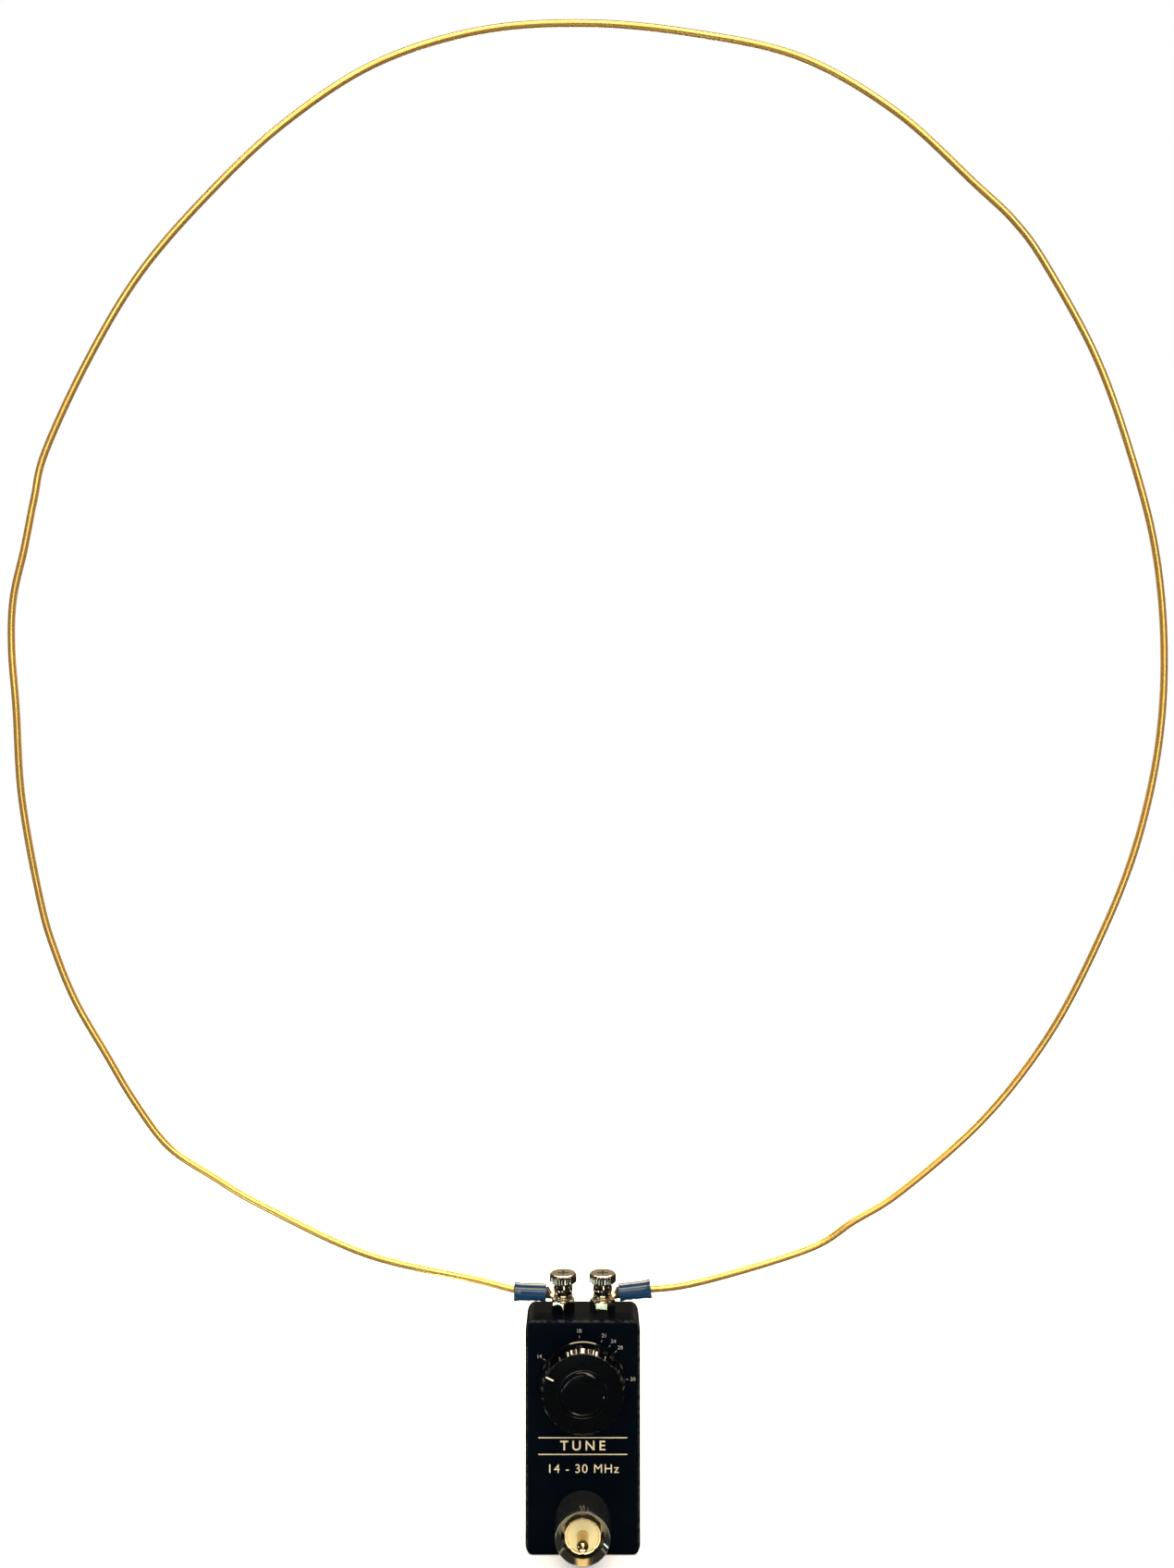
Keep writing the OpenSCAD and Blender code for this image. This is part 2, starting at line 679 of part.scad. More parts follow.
module post_nuts() color("#b7ab90") for (x = [-1, 1]) translate([x * post_x, mid_y, nut_z]) difference() {
    rotate(nut_turn) hexagon(nut_af, nut_h);
    translate([0, 0, -past]) cylinder(d = stud_d + 2 * running, h = nut_h + 2 * past);
}

// Plug

module plug_body() color("#b4ad9f") out_of_panel(0, 0) difference() {
    union() {
        translate([0, 0, -plug_tail]) cylinder(d = plug_thread_d, h = plug_tail + catch_p + catch_t / 2);
        translate([0, 0, catch_p]) cylinder(d = catch_d, h = catch_t);
        translate([0, 0, catch_p]) cylinder(d = nose_d, h = plug_reach - catch_p);
    }
    translate([0, 0, insulator_p]) cylinder(d = insulator_d + 2 * seat, h = plug_reach);
    translate([0, 0, -plug_tail - past]) cylinder(d = tail_d + 2 * seat, h = plug_reach + plug_tail);
    for (k = [0 : notch_count / 2 - 1]) rotate(k * 360 / notch_count)
        translate([-nose_d, -notch_w / 2, plug_reach - notch_d]) cube([2 * nose_d, notch_w, notch_d + past]);
}

// The threaded collar that clamps the plug to the panel from the front
module plug_collar() color("#b4ad9f") out_of_panel(0, 0)
    ring(collar_d, plug_thread_d + 2 * running, collar_t);

module plug_insulator() color("#e9dfc0") out_of_panel(0, 0) difference() {
    union() {
        translate([0, 0, insulator_p]) cylinder(d = insulator_d, h = face_p - insulator_p);
        translate([0, 0, -plug_tail]) cylinder(d = tail_d, h = plug_tail + insulator_p + insulator_step);
    }
    translate([0, 0, -plug_tail - past]) cylinder(d = stem_d + 2 * seat, h = plug_tail + plug_reach + past);
}

// The centre pin has a round tip, and a solder cup behind the panel
module plug_pin() color("#c9a45a") out_of_panel(0, 0) difference() {
    rotate_extrude() {
        translate([0, -plug_tail - pin_tail]) square([stem_d / 2, plug_tail + pin_tail + plug_reach]);
        translate([0, face_p]) square([pin_d / 2, tip_p - pin_d / 2 - face_p]);
        translate([0, tip_p - pin_d / 2]) intersection() {
            circle(d = pin_d);
            square(pin_d / 2);
        }
    }
    translate([0, 0, -plug_tail - pin_tail - past]) cylinder(d = stem_d * cup_share, h = pin_tail + past);
}

module coupling_ring() color("#22242a") out_of_panel(0, 0) difference() {
    translate([0, 0, ring_gap]) cylinder(d = ring_d, h = ring_front - ring_gap);
    cylinder(d = skirt_bore_d, h = lip_p);
    cylinder(d = lip_bore_d, h = plug_reach);
    translate([0, 0, lip_p + lip_l]) cylinder(d = ring_bore_d, h = ring_front);
    translate([0, 0, ring_front - (chamfer_r - ring_bore_d / 2)])
        cylinder(r1 = ring_bore_d / 2, r2 = chamfer_r, h = chamfer_r - ring_bore_d / 2);
    translate([0, 0, groove_from]) for (k = [0 : ring_grooves - 1]) rotate(k * 360 / ring_grooves)
        translate([ring_d / 2 + groove_r - groove_d, 0, 0]) cylinder(r = groove_r, h = groove_l, $fn = 24);
}

module plug_ground_tag() color("#b9b4a8") out_of_panel(0, 0) translate([0, 0, -wall - ground_t])
    difference() {
        union() {
            cylinder(d = ground_d, h = ground_t);
            translate([ground_x - ground_tail[1] / 2, ground_z - ground_tail[1] / 2, 0])
                cube([ground_tail[0], ground_tail[1], ground_t]);
        }
        translate([0, 0, -past]) cylinder(d = plug_thread_d + 2 * loose, h = ground_t + 2 * past);
    }

module plug_nut() color("#9a948a") out_of_panel(0, 0) translate([0, 0, -wall - ground_t - plug_nut_h])
    difference() {
        hexagon(plug_nut_af, plug_nut_h);
        translate([0, 0, -past]) cylinder(d = plug_thread_d + 2 * running, h = plug_nut_h + 2 * past);
    }

// Knob

// The pointer line stands on the middle of a ridge
module ridged_outline() {
    circle(knob_r - knob_ridge_d);
    for (k = [0 : knob_ridges - 1]) rotate(pointer_angle + k * 360 / knob_ridges)
        translate([knob_r - knob_ridge_step - knob_ridge_r, 0]) circle(knob_ridge_r);
}

module sloped_edge() rotate_extrude() polygon([
    [0, knob_gap], [knob_r, knob_gap], [knob_r, knob_top - knob_slope], [face_r, knob_top], [0, knob_top]
]);

module tuning_knob() color("#121316") out_of_panel(0, knob_z) difference() {
    union() {
        translate([0, 0, knob_gap]) cylinder(d = knob_d, h = knob_lip);
        intersection() {
            translate([0, 0, knob_gap + knob_lip / 2]) linear_extrude(knob_h) ridged_outline();
            sloped_edge();
        }
    }
    translate([0, 0, knob_gap - past]) ring_space(knob_d - 2 * knob_wall, hub_d, knob_h - knob_roof + past);
    translate([0, 0, knob_gap - past]) cylinder(d = shaft_d + 2 * seat, h = knob_h - knob_roof + past);
    translate([0, 0, knob_top - cap_recess]) cylinder(d = cap_d + 2 * running, h = cap_recess + past);
    rotate(pointer_angle)
        translate([face_r - pointer_l, -pointer_w / 2 - seat, knob_top - pointer_d])
        cube([pointer_l + seat, pointer_w + 2 * seat, pointer_d + past]);
    rotate(pointer_angle + 180) translate([0, 0, knob_gap + grub_up]) rotate([0, 90, 0])
        cylinder(d = grub_d + 2 * running, h = knob_d);
}

module ring_space(d, core, h) difference() {
    cylinder(d = d, h = h);
    translate([0, 0, -past]) cylinder(d = core, h = h + 2 * past);
}

module knob_cap() color("#1b1c20") out_of_panel(0, knob_z) translate([0, 0, knob_top - cap_recess])
    cylinder(d = cap_d, h = cap_t);

module knob_pointer() color("#e8e2cc") out_of_panel(0, knob_z) rotate(pointer_angle)
    translate([face_r - pointer_l + seat, -pointer_w / 2, knob_top - pointer_d])
    cube([pointer_l - seat, pointer_w, pointer_d]);

module knob_grub_screw() color("#8f8c86") out_of_panel(0, knob_z) rotate(pointer_angle + 180)
    translate([0, 0, knob_gap + grub_up]) rotate([0, 90, 0]) difference() {
        translate([0, 0, shaft_d / 2 + seat]) cylinder(d = grub_d, h = grub_l);
        translate([-grub_d, -grub_slot_w / 2, shaft_d / 2 + grub_l - grub_slot_d])
            cube([2 * grub_d, grub_slot_w, grub_slot_d + past]);
    }

// Tuning capacitor

module square_plate(y0, t) front_view(y0, t) translate([0, knob_z]) square(cap_size, center = true);

module capacitor_base() color("#d8d2bf") difference() {
    union() {
        square_plate(inside_y, cap_base_t);
        out_of_panel(0, knob_z) translate([0, 0, -wall - cap_base_t / 2])
            cylinder(d = bush_d, h = wall + cap_base_t / 2);
    }
    out_of_panel(0, knob_z) {
        translate([0, 0, -wall - cap_base_t - past])
            cylinder(d = shaft_d + 2 * running, h = wall + cap_base_t + 2 * past);
        for (x = [-1, 1]) translate([x * cap_screw_gap / 2, 0, -wall - cap_base_t - past])
            cylinder(d = cap_screw_d + 2 * running, h = cap_base_t + past + seat);
    }
}

module capacitor_case() color("#dcd7c8") difference() {
    square_plate(cap_shell_y, cap_depth - cap_base_t);
    front_view(cap_shell_y - past, cap_depth - cap_base_t - cap_wall + past) translate([0, knob_z])
        square(cap_size - 2 * cap_wall, center = true);
    translate([0, cap_back_y - cap_wall - past, knob_z]) rotate([-90, 0, 0])
        cylinder(d = pivot_d + 2 * running, h = cap_wall + 2 * past);
    for (a = rod_angles) translate([rod_r * cos(a), cap_back_y - cap_wall - past, knob_z + rod_r * sin(a)])
        rotate([-90, 0, 0]) cylinder(d = rod_d + 2 * running, h = cap_wall + 2 * past);
}

// Half a disc, below the shaft's axis
module half_disc(r) intersection() {
    circle(r);
    translate([-r, -r]) square([2 * r, r]);
}

module capacitor_stator() color("#b08d57") {
    for (i = [0 : plates]) front_view(rotor_y + (i - 0.5) * plate_pitch, plate_t) translate([0, knob_z])
        difference() {
            half_disc(stator_r);
            circle(stator_in_r);
        }
    for (a = rod_angles) translate([rod_r * cos(a), rotor_y - plate_pitch / 2, knob_z + rod_r * sin(a)])
        rotate([-90, 0, 0]) cylinder(d = rod_d, h = cap_back_y + rod_out - rotor_y + plate_pitch / 2);
}

module capacitor_shaft() color("#b08d57") out_of_panel(0, knob_z) {
    translate([0, 0, -wall - cap_depth + cap_wall + running])
        cylinder(d = shaft_d, h = wall + cap_depth - cap_wall - running + shaft_top);
    translate([0, 0, -wall - cap_depth - pivot_out]) cylinder(d = pivot_d, h = cap_depth);
}

module capacitor_rotor() color("#b08d57") for (i = [0 : plates - 1])
    front_view(rotor_y + i * plate_pitch, plate_t) translate([0, knob_z]) difference() {
        union() {
            half_disc(rotor_r);
            circle(shaft_d / 2 + hub_wall);
        }
        circle(shaft_d / 2 + seat);
    }

module rotor_tag() color("#b9b4a8") front_view(cap_back_y, rotor_tag_t) translate([0, knob_z]) difference() {
    union() {
        circle(rotor_tag_w);
        translate([-rotor_tag_w / 2, -rotor_tag_l]) square([rotor_tag_w, rotor_tag_l]);
    }
    circle(pivot_d / 2 + running);
}

module capacitor_screws() color("#8f8c86") out_of_panel(0, knob_z) for (x = [-1, 1])
    translate([x * cap_screw_gap / 2, 0, 0])
    countersunk(cap_screw_d, wall + cap_base_t, cap_screw_head_d, cap_screw_head_t);

// Coupling coil and leads

module toroid_core() color("#3a3d42") translate([core_x, core_y, core_z]) rotate([0, 90, 0]) rotate_extrude()
    translate([coil_mid_r, 0]) round_rect((core_od - core_id) / 2, core_h, core_r);

module coupling_winding() color("#a4532a") tube(coil_path, coil_wire_d, coil_side_count);
module lead(path) tube(smooth_all(path, lead_step_count), lead_d, lead_side_count);
module left_lead() color("#a02020") lead(left_lead_path);
module right_lead() color("#1a1a1a") lead(right_lead_path);

case_front();
case_back();
cover_screws();
loop_wire();
left_lug();
right_lug();
left_sleeve();
right_sleeve();
left_post();
right_post();
left_washer();
right_washer();
left_thumb_screw();
right_thumb_screw();
left_tag();
right_tag();
post_lock_washers();
post_nuts();
plug_body();
plug_collar();
plug_insulator();
plug_pin();
coupling_ring();
plug_ground_tag();
plug_nut();
tuning_knob();
knob_cap();
knob_pointer();
knob_grub_screw();
capacitor_base();
capacitor_case();
capacitor_stator();
capacitor_shaft();
capacitor_rotor();
rotor_tag();
capacitor_screws();
toroid_core();
coupling_winding();
left_lead();
right_lead();
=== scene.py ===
"""Looks of a radio loop antenna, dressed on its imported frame. All lengths are in metres."""
import json
import math

import bmesh
import bpy
from mathutils import Matrix, Vector


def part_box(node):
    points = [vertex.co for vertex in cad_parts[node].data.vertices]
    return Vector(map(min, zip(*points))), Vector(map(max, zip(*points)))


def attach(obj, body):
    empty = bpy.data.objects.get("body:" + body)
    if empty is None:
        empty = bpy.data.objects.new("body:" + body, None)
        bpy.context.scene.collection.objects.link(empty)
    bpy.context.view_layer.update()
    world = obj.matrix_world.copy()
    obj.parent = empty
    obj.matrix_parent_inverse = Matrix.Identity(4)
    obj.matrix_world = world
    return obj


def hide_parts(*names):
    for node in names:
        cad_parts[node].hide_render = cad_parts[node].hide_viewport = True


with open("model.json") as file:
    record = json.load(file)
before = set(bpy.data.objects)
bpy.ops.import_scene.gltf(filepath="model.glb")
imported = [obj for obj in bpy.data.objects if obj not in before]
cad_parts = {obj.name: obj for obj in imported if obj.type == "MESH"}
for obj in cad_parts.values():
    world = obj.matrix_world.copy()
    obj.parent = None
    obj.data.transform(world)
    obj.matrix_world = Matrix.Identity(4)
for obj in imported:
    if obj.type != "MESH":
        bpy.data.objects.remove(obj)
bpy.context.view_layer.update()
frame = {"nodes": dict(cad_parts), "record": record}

MM = 0.001


def low(node):
    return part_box(node)[0]


def high(node):
    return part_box(node)[1]


def middle(node):
    return (low(node) + high(node)) / 2


def span(node):
    return high(node) - low(node)


# Places and sizes that the frame gives
PANEL_Y = low("case_front").y
CASE_Z = (low("case_front").z, high("case_front").z)
KNOB_Z = middle("capacitor_shaft").z
WIRE_Y = middle("left_post").y
LUG_Z = high("left_post").z
POST_X = {"left": middle("left_post").x, "right": middle("right_post").x}
SIDE = {"left": -1, "right": 1}

# The loop's route, from the left lug over the top to the right lug: each bend of the hand-formed wire,
# in hundredths of half the loop's width and in hundredths of its height
LOOP_W = 408 * MM
LOOP_H = 450 * MM
ROUTE = [
    (-18.5, 1), (-37.5, 3), (-55.5, 6.8), (-63.8, 9), (-72, 11.5), (-78, 15.1), (-83, 18.9),
    (-88, 22.8), (-91.5, 26.6), (-94.2, 30.7), (-97.5, 38.9), (-98.5, 46), (-99.3, 50.8),
    (-99, 54.7), (-97.1, 58.6), (-95.4, 62.5), (-93.4, 66.3), (-86, 73.5), (-77, 80.3),
    (-65.2, 86.5), (-52, 92.1), (-36.2, 96.8), (-18.2, 99.4), (0.5, 100), (19.5, 99.2),
    (38, 97.3), (54.5, 93), (68.3, 87.3), (75, 84.4), (80.3, 81.1), (89, 73.9), (95, 66.4),
    (99.4, 58.7), (101, 50.8), (100, 43), (96, 35), (89.5, 27.6), (81, 20.3), (69.7, 13.7),
    (55.4, 8), (47, 5.6), (39, 3.4), (20, 0.8),
]

# Ring lugs and their sleeves
LUG_REACH = 5.6 * MM
BARREL_D = 4 * MM
BARREL_L = 6.5 * MM
BARREL_BORE = 2.6 * MM
BARREL_UP = BARREL_D / 2
TILT = {"left": math.radians(2), "right": math.radians(7)}
SLEEVE_FROM = 0.5 * MM
SLEEVE_L = 11.3 * MM
SLEEVE_D = 6 * MM
SLEEVE_FLARE = 0.35 * MM
WIRE_D = span("loop_wire").y
WIRE_IN = 0.8 * MM
WIRE_CLEAR = 1.5 * MM

# Ways to make a mesh

FILLET_STEPS = 4
FLAT_RING_SIDES = 72
SMOOTH_ANGLE = math.radians(32)


def soft_profile(corners):
    """Rounds the corners of a profile, each given as (radius, height, fillet)."""
    points = []
    for i, (radius, height, fillet) in enumerate(corners):
        here = Vector((radius, height))
        if not fillet:
            points.append(here)
            continue
        before = (Vector(corners[i - 1][:2]) - here).normalized() * fillet
        after = (Vector(corners[(i + 1) % len(corners)][:2]) - here).normalized() * fillet
        for k in range(FILLET_STEPS + 1):
            t = k / FILLET_STEPS
            points.append(here + before * (1 - t) ** 2 + after * t ** 2)
    return points


def run(radius, start, end, steps):
    """Profile corners along a straight wall, close enough together to take dents, ridges or facets."""
    return [(radius, start + (end - start) * i / steps, 0) for i in range(steps + 1)]


def skin(bm, rings, loop):
    """Joins rings of vertices with faces. A ring of one vertex is a pole."""
    pairs = list(zip(rings, rings[1:]))
    if loop:
        pairs.append((rings[-1], rings[0]))
    for a, b in pairs:
        count = max(len(a), len(b))
        for k in range(count):
            n = (k + 1) % count
            if len(a) == 1:
                bm.faces.new((a[0], b[k], b[n]))
            elif len(b) == 1:
                bm.faces.new((a[k], b[0], a[n]))
            else:
                bm.faces.new((a[k], b[k], b[n], a[n]))
    bmesh.ops.recalc_face_normals(bm, faces=bm.faces)


def turned(profile, sides, reshape=None):
    """A shape turned about Z.

    A profile that starts on the axis is open there, and any other is a closed ring.
    reshape takes a radius, a height and an angle, and gives the radius there.
    """
    bm = bmesh.new()
    rings = []
    for radius, height in profile:
        if radius <= 0:
            rings.append([bm.verts.new((0, 0, height))])
            continue
        ring = []
        for k in range(sides):
            angle = 2 * math.pi * k / sides
            r = reshape(radius, height, angle) if reshape else radius
            ring.append(bm.verts.new((r * math.cos(angle), r * math.sin(angle), height)))
        rings.append(ring)
    skin(bm, rings, loop=profile[0][0] > 0)
    return bm


def flat_ring(inner, outer, bottom, top, edge):
    """A flat ring about Z, with rounded edges."""
    corners = [(inner, bottom, edge), (outer, bottom, edge), (outer, top, edge), (inner, top, edge)]
    return turned(soft_profile(corners), FLAT_RING_SIDES)


def lofted(sections):
    """A closed shape through rings of points, with flat ends."""
    bm = bmesh.new()
    rings = [[bm.verts.new(p) for p in section] for section in sections]
    skin(bm, rings, loop=False)
    bm.faces.new(rings[0])
    bm.faces.new(rings[-1])
    bmesh.ops.recalc_face_normals(bm, faces=bm.faces)
    return bm


def smooth_path(points, steps):
    """A smooth curve through points, with straight ends."""
    path = [points[0]]
    for a, b, c, d in zip(points, points[1:], points[2:], points[3:]):
        for k in range(steps):
            t = k / steps
            path.append((2 * b + (c - a) * t + (2 * a - 5 * b + 4 * c - d) * t ** 2
                         + (3 * b - a - 3 * c + d) * t ** 3) / 2)
    return path + [points[-2], points[-1]]


def swept(path, radius, sides):
    """A round bar along a path."""
    sections = []
    normal = Vector((0, 1, 0))
    last = len(path) - 1
    turns = [2 * math.pi * k / sides for k in range(sides)]
    for i, p in enumerate(path):
        along = (path[min(i + 1, last)] - path[max(i - 1, 0)]).normalized()
        normal = (normal - along * normal.dot(along)).normalized()
        across = along.cross(normal)
        sections.append([p + (normal * math.cos(a) + across * math.sin(a)) * radius for a in turns])
    return lofted(sections)


def prism(outline, bottom, top, bottom_scale=1.0):
    """An outline in x and y raised from bottom to top. Its bottom may be smaller."""
    foot = [(x * bottom_scale, y * bottom_scale, bottom) for x, y in outline]
    head = [(x, y, top) for x, y in outline]
    return lofted([foot, head])


def circle(radius, sides):
    """A circle's outline, counter-clockwise."""
    turns = [2 * math.pi * k / sides for k in range(sides)]
    return [(radius * math.cos(a), radius * math.sin(a)) for a in turns]


def cross(length, width):
    """A cross's outline, counter-clockwise: the corners of one arm, turned four times by a quarter."""
    tip = length / 2
    half = width / 2
    arm = [(tip, -half), (tip, half), (half, half)]
    outline = []
    for _ in range(4):
        outline += arm
        arm = [(-y, x) for x, y in arm]
    return outline


def object_of(name, bm):
    mesh = bpy.data.meshes.new(name)
    bm.to_mesh(mesh)
    bm.free()
    made = bpy.data.objects.new(name, mesh)
    bpy.context.scene.collection.objects.link(made)
    return made


def combined(bm, other, operation):
    """The union or difference of two closed shapes."""
    first = object_of("shape_a", bm)
    second = object_of("shape_b", other)
    change = first.modifiers.new("change", "BOOLEAN")
    change.operation = operation
    change.object = second
    change.solver = "EXACT"
    evaluated = first.evaluated_get(bpy.context.evaluated_depsgraph_get())
    result = bmesh.new()
    result.from_mesh(evaluated.to_mesh())
    evaluated.to_mesh_clear()
    for temporary in (first, second):
        bpy.data.meshes.remove(temporary.data)
    return result


def piece(name, bm, body, slot, stands_for=(), where=Matrix.Identity(4), finish=None):
    """Puts a mesh in the scene, on the body that carries it, in its slot's finish or its own."""
    made = object_of(name, bm)
    made.matrix_world = where
    made.data.materials.append(finish or FINISH[slot])
    made.data.shade_smooth()
    made.data.set_sharp_from_angle(angle=SMOOTH_ANGLE)
    made.modifiers.new("even_shading", "WEIGHTED_NORMAL").keep_sharp = True
    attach(made, body)
    if stands_for:
        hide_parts(*stands_for)


def out_of_panel(x, z):
    """A place on the panel whose Z points out of it and whose Y points up."""
    return Matrix.Translation((x, PANEL_Y, z)) @ Matrix.Rotation(math.pi / 2, 4, "X")


def back_and_front(node):
    """How far a node's back and front stand out from the panel."""
    return PANEL_Y - high(node).y, PANEL_Y - low(node).y


PLUG_AXIS = out_of_panel(0, 0)
KNOB_AXIS = out_of_panel(0, KNOB_Z)
POST_AXIS = {side: Matrix.Translation((x, WIRE_Y, 0)) for side, x in POST_X.items()}

# Ways to make a finish

# Sockets of the mix node, when it mixes colours
MIX_FACTOR = 0
MIX_A = 6
MIX_B = 7
MIX_COLOUR = 2


def put(tree, value, socket):
    if isinstance(value, bpy.types.NodeSocket):
        tree.links.new(value, socket)
    else:
        socket.default_value = value


def node(tree, kind, inputs=(), **settings):
    made = tree.nodes.new("ShaderNode" + kind)
    for key, value in settings.items():
        setattr(made, key, value)
    for socket, value in dict(inputs).items():
        put(tree, value, made.inputs[socket])
    return made


def calculate(tree, operation, *values):
    made = node(tree, "Math", operation=operation)
    for i, value in enumerate(values):
        put(tree, value, made.inputs[i])
    return made.outputs[0]


def remap(tree, value, bottom, top, to_bottom=0.0, to_top=1.0):
    made = node(tree, "MapRange", {"Value": value, "From Min": bottom, "From Max": top,
                                   "To Min": to_bottom, "To Max": to_top})
    return made.outputs[0]


def mix_colour(tree, factor, a, b):
    made = node(tree, "Mix", data_type="RGBA")
    for socket, value in ((MIX_FACTOR, factor), (MIX_A, a), (MIX_B, b)):
        put(tree, value, made.inputs[socket])
    return made.outputs[MIX_COLOUR]


def effect(name, inputs, outputs):
    """An empty node group, with its input and output sockets."""
    tree = bpy.data.node_groups.new(name, "ShaderNodeTree")
    for label, kind, value in inputs:
        socket = tree.interface.new_socket(label, in_out="INPUT", socket_type="NodeSocket" + kind)
        socket.default_value = value
    for label, kind in outputs:
        tree.interface.new_socket(label, in_out="OUTPUT", socket_type="NodeSocket" + kind)
    return tree, tree.nodes.new("NodeGroupInput").outputs, tree.nodes.new("NodeGroupOutput").inputs


def noise(tree, scale, detail, roughness=0.55):
    where = node(tree, "TexCoord").outputs["Object"]
    made = node(tree, "TexNoise", {"Vector": where, "Scale": scale, "Detail": detail, "Roughness": roughness})
    return made.outputs["Fac"]


def make_grain():
    """The fine even texture of a moulded or cast surface."""
    finer = 2.7
    fine_share = 0.5
    tree, given, gives = effect("moulded_grain", [("Scale", "Float", 3000.0)], [("Height", "Float")])
    coarse = noise(tree, given["Scale"], detail=2.0)
    fine = noise(tree, calculate(tree, "MULTIPLY", given["Scale"], finer), detail=4.0, roughness=0.7)
    height = calculate(tree, "ADD", coarse, calculate(tree, "MULTIPLY", fine, fine_share))
    tree.links.new(height, gives["Height"])
    return tree


def make_edge_wear():
    """Edge wear, broken up so that it isn't an even line, and a painted highlight on the round edges of a
    box.

    Sharp edges, found by the bevel, get wear. Rounded is how much painted highlight the round edges get:
    where a surface faces no one axis.
    """
    tree, given, gives = effect(
        "wear_and_sheen",
        [("Radius", "Float", 0.0003), ("Breakup", "Float", 900.0), ("Rounded", "Float", 0.0)],
        [("Mask", "Float")])
    rounded = node(tree, "Bevel", {"Radius": given["Radius"]}, samples=6).outputs[0]
    plain = node(tree, "NewGeometry").outputs["Normal"]
    likeness = node(tree, "VectorMath", {0: rounded, 1: plain}, operation="DOT_PRODUCT").outputs["Value"]
    sharp = remap(tree, likeness, bottom=0.995, top=0.86)
    unsigned = node(tree, "VectorMath", {0: plain}, operation="ABSOLUTE").outputs[0]
    facing = node(tree, "SeparateXYZ", {0: unsigned}).outputs
    squarest = calculate(tree, "MAXIMUM", facing["X"], calculate(tree, "MAXIMUM", facing["Y"], facing["Z"]))
    # Painted highlight: lighter where a round edge faces no one axis, on pieces that ask for it
    soft = calculate(tree, "MULTIPLY", remap(tree, squarest, bottom=0.97, top=0.8), given["Rounded"])
    edge = calculate(tree, "MAXIMUM", sharp, soft)
    broken = remap(tree, noise(tree, given["Breakup"], detail=4.0), bottom=0.38, top=0.62)
    tree.links.new(calculate(tree, "MULTIPLY", edge, broken), gives["Mask"])
    return tree


def make_turning():
    """The fine rings that a lathe leaves round a turned piece."""
    square = 2.0
    tree, given, gives = effect("turning_rings", [("Rings", "Float", 9000.0)], [("Height", "Float")])
    where = node(tree, "SeparateXYZ", {0: node(tree, "TexCoord").outputs["Object"]}).outputs
    x_squared = calculate(tree, "POWER", where["X"], square)
    y_squared = calculate(tree, "POWER", where["Y"], square)
    across = calculate(tree, "SQRT", calculate(tree, "ADD", x_squared, y_squared))
    along = calculate(tree, "MULTIPLY", calculate(tree, "ADD", across, where["Z"]), given["Rings"])
    rings = node(tree, "TexNoise", {"W": along, "Scale": 1.0, "Detail": 3.0}, noise_dimensions="1D")
    tree.links.new(rings.outputs["Fac"], gives["Height"])
    return tree


def make_tarnish():
    """Patches where a finish has dulled, faded or picked up dirt."""
    tree, given, gives = effect(
        "tarnish",
        [("Clean", "Color", (0.8, 0.8, 0.8, 1)), ("Dull", "Color", (0.4, 0.4, 0.4, 1)),
         ("Amount", "Float", 0.5), ("Scale", "Float", 300.0)],
        [("Color", "Color"), ("Mask", "Float")])
    spread = noise(tree, given["Scale"], detail=6.0, roughness=0.62)
    patches = remap(tree, spread, bottom=0.4, top=0.72)
    mask = calculate(tree, "MULTIPLY", patches, given["Amount"])
    tree.links.new(mix_colour(tree, mask, given["Clean"], given["Dull"]), gives["Color"])
    tree.links.new(mask, gives["Mask"])
    return tree


def make_handling():
    """A roughness that wanders, as fingers and dust leave it."""
    tree, given, gives = effect(
        "handling",
        [("Scale", "Float", 150.0), ("Smooth", "Float", 0.2), ("Rough", "Float", 0.4)],
        [("Roughness", "Float")])
    film = noise(tree, given["Scale"], detail=5.0, roughness=0.6)
    wandering = remap(tree, film, bottom=0.3, top=0.7, to_bottom=given["Smooth"], to_top=given["Rough"])
    tree.links.new(wandering, gives["Roughness"])
    return tree


GRAIN = make_grain()
WEAR_AND_SHEEN = make_edge_wear()
TURNING = make_turning()
TARNISH = make_tarnish()
HANDLING = make_handling()


def place(tree, group, **inputs):
    """Puts a shared effect in a material with its own values."""
    made = tree.nodes.new("ShaderNodeGroup")
    made.node_tree = group
    for socket, value in inputs.items():
        put(tree, value, made.inputs[socket])
    return made.outputs


def new_finish(name, **sockets):
    """A material and its shader, with the values that are the same all over set on the shader itself."""
    material = bpy.data.materials.new(name)
    material.use_nodes = True
    shader = material.node_tree.nodes["Principled BSDF"]
    for socket, value in sockets.items():
        shader.inputs[socket.replace("_", " ")].default_value = value
    return material, material.node_tree, shader.inputs


def coat(tree, shader, colour, roughness, height, depth):
    """Gives a shader its colour, its roughness and its fine relief."""
    relief = node(tree, "Bump", {"Height": height, "Distance": depth, "Strength": 1.0})
    tree.links.new(colour, shader["Base Color"])
    tree.links.new(roughness, shader["Roughness"])
    tree.links.new(relief.outputs["Normal"], shader["Normal"])


def rgb(red, green, blue):
    return (red, green, blue, 1.0)


